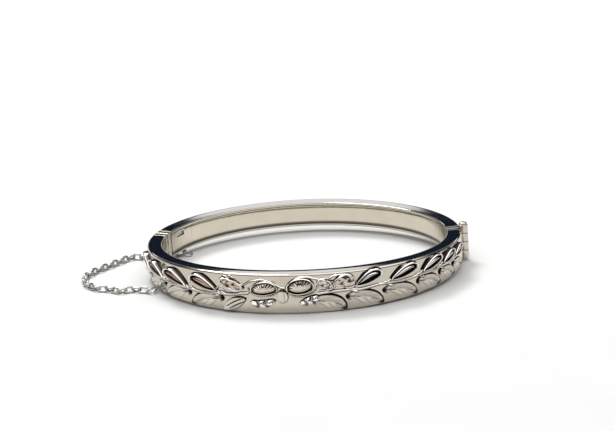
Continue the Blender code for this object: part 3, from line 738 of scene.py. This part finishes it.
def make_tongue():
    low, high = MID_HEIGHT - TONGUE_HEIGHT / 2, MID_HEIGHT + TONGUE_HEIGHT / 2
    root = CLASP_CENTRE[1] - SEAM_GAP / 2 - JOIN_GAP
    inner, outer = TONGUE_X + TONGUE_SHEET, TONGUE_X
    nose = 0.75 * TONGUE_SHEET
    tip = [(inner - nose + x, FOLD_Y + y) for x, y in arc(nose, 0, -90, 6)]
    back = [(outer - nose, FOLD_Y - nose), (outer - 1.5 * nose, FOLD_Y - 0.6 * nose),
            (outer - 1.6 * nose, FOLD_Y - 0.3 * nose), (outer, FOLD_Y + 0.2), (outer, root)]
    points, faces = folded_sheet([(inner, root)] + tip + back, low, high)
    make_piece("tongue_fixed_leaf", points, faces, "spring_silver", "back_half", ["tongue_base_leaf"])
    near_y, far_y = FOLD_Y + TONGUE_SHEET, CLASP_CENTRE[1] - 2 * TONGUE_CLEARANCE
    near_x, far_x = TONGUE_X - TONGUE_CLEARANCE, TONGUE_X - TONGUE_SPREAD
    inside = [(near_x + (far_x - near_x) * t, near_y + (far_y - near_y) * t) for t in np.linspace(0, 1, 6)]
    outside = [(x - TONGUE_SHEET, y) for x, y in reversed(inside)]
    reach = SPRUNG_SHARE * TONGUE_HEIGHT / 2
    points, faces = folded_sheet(inside + outside, MID_HEIGHT - reach, MID_HEIGHT + reach)
    make_piece("tongue_sprung_leaf", points, faces, "spring_silver", "clasp_spring", ["tongue_spring_leaf"])


def make_thumb_piece():
    wall_x = band_point(CLASP_SEAM, 0, 0)[0]
    leaf_x = TONGUE_X - TONGUE_SPREAD - TONGUE_SHEET - JOIN_GAP
    length = leaf_x - (wall_x - THUMB_RISE)
    outline = [(0.0, 0.5), (0.03, 0.55), (0.35, 0.55), (0.40, 0.62), (0.44, 0.85), (0.50, 0.97), (0.57, 1.0)]
    outline += [(0.57 + 0.43 * math.sin(a), max(0.05, math.cos(a)))
                for a in np.radians(np.linspace(10, 88, 12))]
    loops = []
    for share, size in outline:
        turns = [FULL_TURN * k / 40 for k in range(40)]
        loops.append([(leaf_x - share * length, THUMB_Y + size * THUMB_WIDTH / 2 * math.cos(a),
                       THUMB_Z + size * THUMB_HEIGHT / 2 * math.sin(a)) for a in turns])
    points, faces = lofted(loops)
    make_piece("thumb_button", points, faces, "hinge_silver", "clasp_spring", ["clasp_thumb_piece"])


# ---- the ornament

def leaf_outline(shape, sides):
    """Shares along a leaf and half-widths round it, from the base along one side to the tip and back."""
    turn = np.linspace(0, FULL_TURN, sides, endpoint=False)
    along = (1 - np.cos(turn)) / 2
    return along, np.sign(np.sin(turn)) * shape(along)


def teardrop(t):
    return 2.49 * t**0.9 * np.sqrt(np.clip(1 - t, 0, None))


def broad_leaf(t):
    return 1.9 * t**0.55 * (1 - t) ** 0.62 * (0.85 + 0.3 * t)


def pointed_leaf(t):
    return 2.0 * t**0.7 * (1 - t) ** 0.7 * 1.32


def oval(t):
    return 2.0 * np.sqrt(np.clip(t * (1 - t), 0, None))


FOOT_MARGIN = 0.3
LONG_CORE = (0.22, 0.74)
VEIN_PITCH = 18
BUD_PLEATS = 9
RIPPLE_WAVES = 2.5
RUFFLE_WAVES = 2.0


def wall_foot(along):
    """The height of the wall's lower edge at each place along it."""
    y = HALF_DEPTH * np.sin(np.interp(along, ARC_LENGTHS, ARC_ANGLES))
    return MID_HEIGHT - band_height(y) / 2


def relief(name, node, spine, width, shape, height, tarnish_and_painted_light, core=LONG_CORE, rosy=0.0, skew=0.0, up=1,
           sides=96, rings=16):
    """A raised piece on the front wall, built of rings that shrink from its outline to its spine.

    height(r, t, q) and the function for tarnish and painted light, which gives 1 for dark and -1 for a
    painted highlight, take the share of the way out r, the share along t and the side q, which is positive on
    the upper side; up tells which way that is from the spine.
    """
    curve = smooth_curve(spine)
    lengths = lengths_along(curve)
    total = lengths[-1]
    step = total * 0.01
    along, side = leaf_outline(shape, sides)

    def place(t, across):
        here, before, after = (
            np.stack([np.interp(np.clip(t * total + shift, 0, total), lengths, curve[:, k])
                      for k in (0, 1)], axis=-1)
            for shift in (0, -step, step))
        ahead = after - before
        ahead /= np.linalg.norm(ahead, axis=-1, keepdims=True)
        normal = np.stack([-ahead[..., 1], ahead[..., 0]], axis=-1)
        return here + normal * across[..., None]

    outline = place(along, (side + skew * along * (1 - along)) * width / 2)
    outline[:, 1] = np.maximum(outline[:, 1], wall_foot(outline[:, 0]) + FOOT_MARGIN)
    centre = place(core[0] + (core[1] - core[0]) * along, np.zeros(sides))
    rows, tarnish_and_light_rows = [on_wall(outline[:, 0], outline[:, 1], np.full(sides, -0.05))], [np.ones(sides)]
    rosy_reflections = [np.zeros(sides)]
    for k in range(rings + 1):
        r = (1 - (k / rings) ** 1.15) * (1 - 0.04) + 0.04
        spot = centre + (outline - centre) * r
        rise = height(r, along, up * side) * np.clip(0.3 + (spot[:, 1] - wall_foot(spot[:, 0])) / 1.6, 0.3, 1)
        rows.append(on_wall(spot[:, 0], spot[:, 1], rise))
        # each ring's tarnish and painted light: dark tarnish, painted shade and painted highlights
        tarnish_and_light_rows.append(np.clip(tarnish_and_painted_light(r, along, up * side) + np.zeros(sides), -1, 1))
        # a painted rosy reflection on the middle of the piece, where rosy is set
        rosy_reflections.append(np.full(sides, rosy * (r < 0.5)))
    points, faces = lofted(rows)
    make_piece(name, points, faces, "ornament_silver", "front_half", [node], 50.0, np.concatenate(tarnish_and_light_rows),
               np.concatenate(rosy_reflections))


def bead(r, centre, width):
    """A half-round bead across the share r."""
    return math.sqrt(max(0.0, 1 - ((r - centre) / width) ** 2))


def nested_height(r, t, q):
    """A thick round wire, a deep groove inside it and a narrow ridged leaf in the middle."""
    if r > 0.95:
        body = 0.04
    elif r > 0.60:
        body = 0.20 + 0.62 * bead(r, 0.77, 0.185)
    elif r > 0.47:
        body = 0.10
    else:
        body = 0.16 + 0.55 * math.sqrt(max(0.0, 1 - (r / 0.48) ** 2))
    return body * (0.78 + 0.4 * t) * (1 + 0.15 * q)


def nested_tarnish_and_light(r, t, q):
    # dark tarnish in the groove, deepened by painted shade
    groove = 1.6 * max(0.0, 1 - abs(r - 0.55) / 0.17)
    # a painted highlight along the wire, brightest on its upper side
    crest_highlight = -1.6 * max(0.0, 1 - abs(r - 0.81) / 0.16) * np.clip(0.9 + q, 0, 1)
    # painted shade at the base of the inner leaf
    fold = 1.2 * (r < 0.44) * np.clip(3 * (0.35 - t), 0, 1)
    # a painted shadow just outside the leaf's upper edge
    margin = 1.2 * (r > 0.90) * np.clip(0.4 + 2 * q, 0, 1)
    return groove + crest_highlight + fold + margin


def twin_tarnish_and_light(r, t, q):
    """Like the nested leaf; painted shade blacks the lower half of the middle, a painted shadow the margin
    above.
    """
    groove = 1.6 * max(0.0, 1 - abs(r - 0.56) / 0.17)
    crest_highlight = -1.6 * max(0.0, 1 - abs(r - 0.80) / 0.13) * np.clip(1 + q, 0.3, 1)
    # painted shade below the spine of the inner leaf, a painted highlight above it
    middle = (r < 0.46) * np.where(q < -0.05, 1.1, -0.7)
    # a broad painted shadow just outside the leaf's upper edge
    margin = 1.3 * (r > 0.87) * np.clip(0.2 + 3 * q, 0, 1)
    return groove + crest_highlight + middle + margin


def scale_height(r, t, q):
    """A broad leaf like a scale: flush with the wall below, standing out above and at its tip."""
    if r > 0.88:
        return np.full_like(t, 0.04)
    upper = np.clip(0.5 + 2.2 * q, 0, 1) * (0.35 + 0.65 * t)
    stand = 0.08 + 0.55 * upper * r
    dome = 0.16 * math.sqrt(max(0.0, 1 - r**2))
    side = np.abs(q) * r
    midrib = -0.12 * np.exp(-((side / 0.05) ** 2)) * (r < 0.82)
    veins = 0.03 * np.sin(VEIN_PITCH * (t - 0.7 * side)) * np.minimum(1, side * 3) * (r < 0.78)
    return stand + dome + midrib + veins


def scale_tarnish_and_light(r, t, q):
    # a painted shadow along the raised upper edge, where it stands out over the next leaf
    edge = (r > 0.80) * np.clip(0.6 + 3 * q, 0, 1) * np.clip(4 * t - 0.3, 0, 1)
    tips = (r > 0.62) * np.clip(12 * np.abs(t - 0.5) - 4.8, 0, 1)
    side = np.abs(q) * r
    veins = 0.35 * np.clip(np.sin(VEIN_PITCH * (t - 0.7 * side) + 1.5) * 4 - 3, 0, 1) * (0.1 < r < 0.78)
    return 0.7 * np.exp(-((side / 0.035) ** 2)) * (0.05 < r < 0.82) + veins + 1.3 * edge + tips


UPPER_LEFT = [
    [(-14.3, 4.15), (-16.6, 5.15), (-18.9, 6.05), (-21.2, 6.1)],
    [(-22.0, 3.95), (-24.3, 5.0), (-26.6, 5.75), (-29.1, 5.55)],
    [(-29.3, 4.1), (-31.4, 5.0), (-33.6, 5.65), (-36.0, 5.4)],
    [(-36.4, 4.3), (-38.3, 5.0), (-40.2, 5.5), (-42.2, 5.3)],
]
UPPER_RIGHT = [
    [(13.1, 4.9), (15.0, 5.9), (16.9, 6.8), (19.0, 7.1)],
    [(20.4, 4.85), (22.6, 5.75), (24.8, 6.5), (27.1, 6.7)],
    [(28.0, 4.9), (29.9, 5.7), (31.8, 6.4), (33.8, 6.6)],
    [(34.1, 4.95), (35.6, 5.6), (37.0, 6.1), (38.5, 6.25)],
    [(38.9, 5.0), (40.2, 5.5), (41.5, 5.9), (42.7, 6.0)],
]
LOWER_LEFT = [
    [(-13.0, 2.9), (-16.0, 2.5), (-18.8, 1.7), (-21.0, 0.45)],
    [(-20.9, 3.0), (-23.9, 2.6), (-26.6, 1.8), (-28.8, 0.85)],
    [(-28.7, 3.2), (-31.4, 2.75), (-33.9, 2.1), (-36.1, 1.35)],
    [(-35.9, 3.3), (-38.2, 2.9), (-40.4, 2.4), (-42.4, 1.8)],
]
LOWER_RIGHT = [
    [(4.6, 2.6), (7.2, 2.55), (9.6, 1.9), (11.5, 0.4)],
    [(11.3, 3.0), (14.2, 2.75), (16.9, 2.0), (19.1, 0.5)],
    [(18.8, 3.1), (21.8, 2.85), (24.5, 2.2), (26.8, 0.9)],
    [(26.6, 3.2), (29.0, 2.95), (31.2, 2.35), (33.1, 1.1)],
    [(32.9, 3.3), (34.9, 3.1), (36.7, 2.55), (38.3, 1.4)],
    [(38.2, 3.4), (39.9, 3.2), (41.5, 2.75), (42.9, 2.0)],
]
UPPER_WIDTH = 3.1
LOWER_WIDTH = 4.3


def local_scale(spine):
    """The band's height where a leaf lies, as a share of its height at the front."""
    middle = np.mean([mark[0] for mark in spine])
    return band_height(float(on_wall(np.array([middle]), 0.0, 0.0)[0][1])) / HEIGHT_FRONT


def make_leaves():
    rows = [("upper_left", UPPER_LEFT, UPPER_WIDTH, teardrop, nested_height, nested_tarnish_and_light, 0.5, -1),
            ("upper_right", UPPER_RIGHT, UPPER_WIDTH, teardrop, nested_height, twin_tarnish_and_light, -0.4, 1),
            ("lower_left", LOWER_LEFT, LOWER_WIDTH, broad_leaf, scale_height, scale_tarnish_and_light, 0.3, -1),
            ("lower_right", LOWER_RIGHT, LOWER_WIDTH, broad_leaf, scale_height, scale_tarnish_and_light, -0.3, 1)]
    for row, spines, width, shape, height, tarnish_and_painted_light, skew, up in rows:
        for k, spine in enumerate(spines):
            size = width * local_scale(spine)
            # the upper left leaves get a painted rosy reflection
            relief(f"relief_{row}_{k + 1}", f"leaf_{row}_{k + 1}", spine, size, shape, height, tarnish_and_painted_light,
                   skew=skew, up=up, rosy=0.75 if row == "upper_left" else 0.0)


def bud_height(r, t, q):
    """A cup with a round rim, a gap, and a bud inside it with pleats above."""
    if r > 0.80:
        return np.full_like(t, 0.35 + 0.45 * bead(r, 0.90, 0.11)) * (0.5 if r > 0.995 else 1.0)
    if r > 0.70:
        return np.full_like(t, 0.25)
    pleats = 0.16 * np.sin(BUD_PLEATS * FULL_TURN * t) * (r / 0.7) * np.clip(3 * q, 0, 1)
    return 0.28 + 0.80 * math.sqrt(1 - (r / 0.71) ** 2 * 0.98) + pleats


def bud_tarnish_and_light(r, t, q):
    folds = np.clip(np.sin(BUD_PLEATS * FULL_TURN * t + 0.8) + 0.2, 0, 1)
    # painted shade in the folds of the upper pleats
    pleats = 1.6 * folds * np.clip(3 * q, 0, 1) * (0.3 < r < 0.80)
    # painted shade under the cup's rim on its lower side
    below = 1.4 * np.clip(0.2 - 1.5 * q, 0, 1) * (0.66 < r < 0.84)
    # a painted highlight on the upper part of the rim
    crest_highlight = -1.1 * np.clip(2 * q, 0, 1) * (0.85 < r < 0.96)
    return pleats + below + crest_highlight + (1.0 if r > 0.97 else 0.0)


def ripple_height(r, t, q):
    body = 0.25 + 0.5 * math.sqrt(max(0.0, 1 - r * r))
    return body + 0.22 * np.sin(RIPPLE_WAVES * FULL_TURN * t + 1.0) * (1 - r * 0.5)


def ripple_painted_light(r, t, q):
    # painted shade in the troughs of the waves and painted highlights on their crests, with a dark outline
    waves = np.sin(RIPPLE_WAVES * FULL_TURN * t + 1.0 + 0.6 * q)
    return 1.8 * np.clip(-waves - 0.45, 0, 1) - np.clip(2 * waves + 0.6, 0, 1) * (r < 0.88) + 0.9 * (r > 0.95)


def ruffle_height(r, t, q):
    """A petal with a rolled, wavy edge and broad folds."""
    body = 0.30 + 0.30 * (1 - r) + 0.4 * bead(r, 0.80, 0.18) * (0.62 < r < 0.97)
    wave = 0.14 * np.sin(RUFFLE_WAVES * FULL_TURN * t + 3 * r + 1.5 * q) * min(1.0, 2 * r)
    return np.where(r > 0.95, 0.05, (body + wave) * (0.8 + 0.3 * t))


def petal_height(r, t, q):
    """A smooth tab."""
    return np.full_like(t, 0.05 if r > 0.93 else 0.30 + 0.35 * math.sqrt(1 - r * r * 0.9))


def grooved_height(r, t, q):
    """A narrow leaf with two long grooves."""
    side = np.abs(q) * r
    body = 0.30 + 0.32 * math.sqrt(max(0.0, 1 - r * r * 0.9))
    return np.where(r > 0.92, 0.04, body - 0.16 * np.exp(-(((side - 0.3) / 0.07) ** 2)))


def grooved_tarnish_and_light(r, t, q):
    # dark outline and dark grooves; the tip, standing out from the wall, gets a painted highlight
    veins = np.exp(-(((np.abs(q) * r - 0.3) / 0.06) ** 2)) * (t < 0.8)
    return 1.2 * (r > 0.88) + veins - 1.0 * (t > 0.84) * (r < 0.88)


def petal_outline_and_shade(r, t, q):
    # a dark outline, and a painted line of shade down one side of the tab
    return 1.2 * (r > 0.88) + 0.6 * np.exp(-(((q * r - 0.35) / 0.08) ** 2)) * (0.2 < r < 0.8)


def ruffle_painted_light(r, t, q):
    """Folds of painted shade: dark gaps that wander, a painted highlight on the rolled edge, and a dark
    outline.
    """
    waves = np.sin(RUFFLE_WAVES * FULL_TURN * t + 3 * r + 1.5 * q + 2.8)
    folds = 1.4 * np.clip(waves - 0.5, 0, 1) * (0.15 < r < 0.70)
    crest_highlight = -1.1 * max(0.0, 1 - abs(r - 0.82) / 0.14) * np.clip(0.6 + q, 0, 1)
    return folds + crest_highlight + 1.1 * (r > 0.95)


CENTRE_PIECES = [
    ("relief_bud_left", "bud_left", [(-7.3, 4.9), (-5.5, 5.3), (-3.6, 5.5), (-1.7, 5.3)], 3.0,
     oval, bud_height, bud_tarnish_and_light, (0.3, 0.7)),
    ("relief_bud_right", "bud_right", [(-0.2, 5.2), (1.6, 5.65), (3.5, 5.85), (5.4, 5.8)], 3.5,
     oval, bud_height, bud_tarnish_and_light, (0.36, 0.64)),
    ("relief_bow", "bow_petal", [(-0.95, 5.2), (-0.95, 4.2), (-0.9, 3.2), (-0.85, 2.3)], 2.3,
     oval, petal_height, petal_outline_and_shade, (0.3, 0.7)),
    ("relief_ripple_left", "ripple_left", [(-7.4, 2.6), (-5.9, 2.15), (-4.2, 2.3), (-2.3, 2.95)], 1.7,
     oval, ripple_height, ripple_painted_light),
    ("relief_ripple_right", "ripple_right", [(2.3, 2.2), (3.6, 2.55), (4.9, 3.0), (6.3, 3.6)], 1.7,
     oval, ripple_height, ripple_painted_light),
    ("relief_pointed_leaf", "pointed_leaf", [(-8.3, 3.1), (-10.1, 2.4), (-11.8, 1.4), (-13.4, 0.1)], 2.5,
     pointed_leaf, grooved_height, grooved_tarnish_and_light),
    ("relief_blossom_left", "blossom_left", [(-8.6, 5.2), (-10.3, 5.5), (-12.0, 6.1), (-13.8, 7.0)], 2.3,
     pointed_leaf, ruffle_height, ruffle_painted_light, LONG_CORE, 0.4),
    ("relief_blossom_right", "blossom_right", [(8.9, 5.8), (10.4, 6.3), (11.8, 6.6), (13.4, 6.5)], 2.9,
     broad_leaf, ruffle_height, ruffle_painted_light, LONG_CORE, 0.3),
    ("relief_curl_right", "curl_right", [(5.8, 6.6), (6.8, 6.3), (7.8, 5.8), (8.8, 5.0)], 2.0,
     oval, ruffle_height, ruffle_painted_light),
]


def make_centre():
    for piece in CENTRE_PIECES:
        relief(*piece)


def wall_tube(marks, radii, lift, sides=12, per_span=8):
    """A round stem lying on the wall through (along, up) marks, with a radius for each mark."""
    curve = smooth_curve(marks, per_span)
    share = lengths_along(curve) / lengths_along(curve)[-1]
    radius = np.interp(share, np.linspace(0, 1, len(radii)), radii)
    centre = on_wall(curve[:, 0], curve[:, 1], radius * lift)
    outward = on_wall(curve[:, 0], curve[:, 1], radius * lift + 1.0) - centre
    ahead = np.gradient(centre, axis=0)
    ahead /= np.linalg.norm(ahead, axis=1, keepdims=True)
    across = np.cross(outward, ahead)
    across /= np.linalg.norm(across, axis=1, keepdims=True)
    loops = []
    for k in range(sides):
        a = FULL_TURN * k / sides
        loops.append(centre + radius[:, None] * (math.cos(a) * across + math.sin(a) * outward))
    return lofted(np.array(loops).transpose(1, 0, 2))


def ribbon(name, marks, radii, lift=1.3, nodes=(), sides=12):
    """A wire that stands off the wall, with a painted highlight on top and painted shade underneath."""
    points, faces = wall_tube(marks, radii, lift, sides)
    turn = np.cos(FULL_TURN * np.arange(sides) / sides) * (1 if marks[0][0] < marks[-1][0] else -1)
    # painted light: a highlight on the upper side of the wire, shade on its lower side
    shade = np.tile(np.clip(0.15 - 1.8 * turn, -0.9, 1), len(points) // sides)
    make_piece(name, points, faces, "ornament_silver", "front_half", nodes, tarnish_and_painted_light=shade)


RIBBONS = {
    "bud_wave": ([(-11.0, 6.35), (-9.9, 6.0), (-8.8, 5.95), (-7.6, 6.6), (-6.2, 7.0), (-4.8, 7.15),
                  (-3.2, 6.7), (-1.9, 6.0), (-0.7, 5.5), (0.1, 5.9), (1.0, 6.8), (2.4, 7.45), (4.0, 7.6),
                  (5.3, 7.25), (6.4, 7.0), (7.6, 7.1), (8.6, 6.8)],
     [0.14, 0.2, 0.22, 0.2, 0.22, 0.24, 0.2, 0.12]),
    "curl_under_left": ([(-7.9, 5.4), (-7.2, 4.4), (-6.0, 3.9), (-4.4, 3.8), (-2.9, 4.0), (-1.9, 4.6)],
                        [0.12, 0.2, 0.14]),
    "curl_under_right": ([(-0.1, 5.0), (0.5, 4.2), (1.8, 3.7), (3.4, 3.7), (4.8, 4.2), (5.7, 5.0)],
                         [0.12, 0.2, 0.14]),
    "curl_a": ([(5.7, 5.2), (6.4, 6.0), (7.2, 6.3), (8.0, 5.9), (7.7, 5.2), (6.9, 5.2)], [0.2, 0.24, 0.16]),
    "curl_b": ([(6.3, 4.7), (7.4, 4.6), (8.6, 4.9), (9.5, 5.5), (9.2, 6.3), (8.4, 6.5)], [0.16, 0.24, 0.16]),
    "curl_c": ([(7.9, 6.9), (8.9, 7.4), (10.1, 7.6), (11.5, 7.5), (12.7, 7.2), (13.3, 6.4), (13.6, 5.5)],
               [0.14, 0.2, 0.16]),
    "curl_d": ([(10.8, 5.4), (11.5, 4.8), (12.6, 4.5), (13.8, 4.5)], [0.14, 0.22, 0.14]),
    "curl_e": ([(-14.9, 4.5), (-13.9, 5.2), (-12.8, 5.0), (-11.8, 4.5), (-10.7, 4.6), (-9.7, 5.2)],
               [0.16, 0.24, 0.16]),
    "curl_f": ([(-13.9, 6.3), (-12.9, 6.7), (-11.9, 6.5), (-11.0, 6.0), (-10.2, 5.4)], [0.14, 0.2, 0.12]),
    "sprig_a": ([(-13.6, 7.2), (-12.8, 7.5), (-12.0, 7.2), (-11.2, 7.4), (-10.6, 7.2)], [0.1, 0.14, 0.08]),
    "sprig_b": ([(-13.3, 6.9), (-12.6, 7.0), (-11.9, 7.6), (-11.4, 7.7)], [0.08, 0.12, 0.07]),
}


def make_ribbons():
    """The wavy wire over the buds, and the curls of ribbon and little sprigs beside them."""
    for name, (marks, radii) in RIBBONS.items():
        ribbon(name, marks, radii)


VINE_LEFT = [(-43.4, 3.95), (-40, 3.75), (-36.5, 3.9), (-33, 3.7), (-29.5, 3.85), (-25.5, 3.6), (-21.8, 3.75),
             (-18, 3.45), (-14.2, 3.8), (-11.5, 3.75), (-9.6, 4.1), (-7.8, 4.3)]
VINE_RIGHT = [(5.9, 4.1), (8.5, 4.3), (11.6, 4.35), (14.5, 4.15), (18, 4.5), (20.4, 4.4), (24, 4.25),
              (27.6, 4.45), (31, 4.3), (34, 4.45), (37, 4.3), (39.5, 4.5), (42.5, 4.35), (44.5, 3.9),
              (46.4, 3.4)]
VINE_LEVELS = {"left": 3.75, "right": 4.35}


def make_vines():
    """The two stems, and a stalk and a bract where each upper leaf leaves its stem."""
    ribbon("stem_left", VINE_LEFT, [0.16, 0.26, 0.28, 0.3, 0.3], 0.9, nodes=["vine_left"])
    ribbon("stem_right", VINE_RIGHT, [0.3, 0.28, 0.26, 0.24, 0.1], 0.9, nodes=["vine_right"])
    for row, spines, inward in (("left", UPPER_LEFT, 1), ("right", UPPER_RIGHT, -1)):
        vine = VINE_LEVELS[row]
        for k, spine in enumerate(spines):
            size = local_scale(spine)
            along, up = spine[0]
            stalk = [(along + 2.1 * inward, vine - 0.1), (along + 1.2 * inward, vine + 0.35),
                     (along + 0.4 * inward, up - 0.1), (along - 0.6 * inward, up + 0.3)]
            ribbon(f"stalk_{row}_{k + 1}", stalk, [0.12 * size, 0.26 * size, 0.12 * size])
            bract = [(along + 0.9 * inward, vine + 0.1), (along + 0.2 * inward, vine - 0.35),
                     (along - 0.8 * inward, vine - 0.5), (along - 1.7 * inward, vine - 0.25)]
            ribbon(f"bract_{row}_{k + 1}", bract, [0.2 * size, 0.34 * size, 0.1 * size])


# ---- the safety chain

def round_wire(middles, outs, axis, wire, sides):
    """A closed loop of round wire through middle points, each with the direction out of the loop."""
    turns = np.linspace(0, FULL_TURN, sides, endpoint=False)
    loops = [[middle + wire * (math.cos(b) * out + math.sin(b) * axis) for b in turns]
             for middle, out in zip(middles, outs)]
    return np.array(loops).reshape(-1, 3), tube_faces(len(loops), sides)


def wire_ring(centre, across, up, radius, wire, turns=40, sides=14):
    across, up, centre = np.array(across), np.array(up), np.array(centre)
    angles = [FULL_TURN * k / turns for k in range(turns)]
    outs = [math.cos(a) * across + math.sin(a) * up for a in angles]
    return round_wire([centre + radius * out for out in outs], outs, np.cross(across, up), wire, sides)


def link_solid(centre, ahead, tilt, turns=28, sides=10):
    """An oval link of round wire, its long side along ahead and its plane turned by tilt about it."""
    ahead = np.array([ahead[0], ahead[1], 0.0]) / np.linalg.norm(ahead)
    level = np.array([-ahead[1], ahead[0], 0.0])
    across = math.cos(tilt) * level + math.sin(tilt) * np.array([0, 0, 1.0])
    bend = LINK_WIDTH / 2 - LINK_WIRE
    straight = LINK_LENGTH / 2 - LINK_WIRE - bend
    angles = [FULL_TURN * (k + 0.5) / turns for k in range(turns)]
    outs = [ahead * math.cos(a) + across * math.sin(a) for a in angles]
    middles = [centre + ahead * math.copysign(straight, math.cos(a)) + bend * out
               for a, out in zip(angles, outs)]
    return round_wire(middles, outs, np.cross(ahead, across), LINK_WIRE, sides)


def back_lug_point():
    low_edge = MID_HEIGHT - half_height(BACK_LUG)
    return band_point(BACK_LUG, BAND_THICKNESS - 0.75, low_edge - JOIN_GAP - LUG_RADIUS - LUG_WIRE)


def front_lug_point():
    low_edge = MID_HEIGHT - half_height(FRONT_LUG)
    return band_point(FRONT_LUG, -(0.06 + LUG_RADIUS + LUG_WIRE), low_edge + OUTER_EDGE - 0.2)


def make_rings(side, point, away, angle):
    outward = (*outer_normal(angle), 0.0)
    points, faces = wire_ring(point, outward, (0.0, 0.0, 1.0), LUG_RADIUS, LUG_WIRE)
    make_piece(f"{side}_lug_ring", points, faces, "chain_silver", f"{side}_half", [f"{side}_chain_lug"])
    foot = RING_WIRE + CHAIN_CLEARANCE
    tilt = math.asin((point[2] - foot) / (2 * RING_RADIUS))
    tangent = (-away[1], away[0], 0.0)
    lean = (away[0] * math.cos(tilt), away[1] * math.cos(tilt), -math.sin(tilt))
    centre = [p + RING_RADIUS * c for p, c in zip(point, lean)]
    points, faces = wire_ring(centre, tangent, lean, RING_RADIUS, RING_WIRE)
    make_piece(f"{side}_ring", points, faces, "chain_silver", f"{side}_half", [f"{side}_jump_ring"])


def make_chain():
    make_rings("back", back_lug_point(), -outer_normal(BACK_LUG), BACK_LUG)
    make_rings("front", front_lug_point(), outer_normal(FRONT_LUG), FRONT_LUG)
    route = smooth_curve(CHAIN_ROUTE, 12)
    total = lengths_along(route)[-1]
    first, last = RING_RADIUS, total - RING_RADIUS
    pitch = (last - first) / CHAIN_LINKS
    height = (LINK_WIDTH / 2 - LINK_WIRE) * math.sin(LINK_TILT) + LINK_WIRE + CHAIN_CLEARANCE
    segments = {k: [] for k in range(CHAIN_SEGMENTS)}
    for k in range(CHAIN_LINKS):
        place = first + (k + 0.5) * pitch
        ahead = on_curve(route, place + pitch / 2) - on_curve(route, place - pitch / 2)
        centre = np.array([*on_curve(route, place), height])
        if k == CLEARED_LINK:
            centre[:2] += LINK_SHIFT
        tilt = LINK_TILT if k % 2 else -LINK_TILT
        segment = min(int(place / total * CHAIN_SEGMENTS), CHAIN_SEGMENTS - 1)
        segments[segment].append(link_solid(centre, ahead, tilt))
    for k, links in segments.items():
        points, faces = joined(links)
        make_piece(f"chain_links_{k + 1}", points, faces, "chain_silver", f"chain_{k + 1}",
                   [f"chain_segment_{k + 1}"], 60.0)


# ---- the whole scene

make_camera()
make_world()
make_lamp()
make_floor()
make_chain()
make_halves()
make_hinge()
make_clasp()
make_leaves()
make_centre()
make_ribbons()
make_vines()
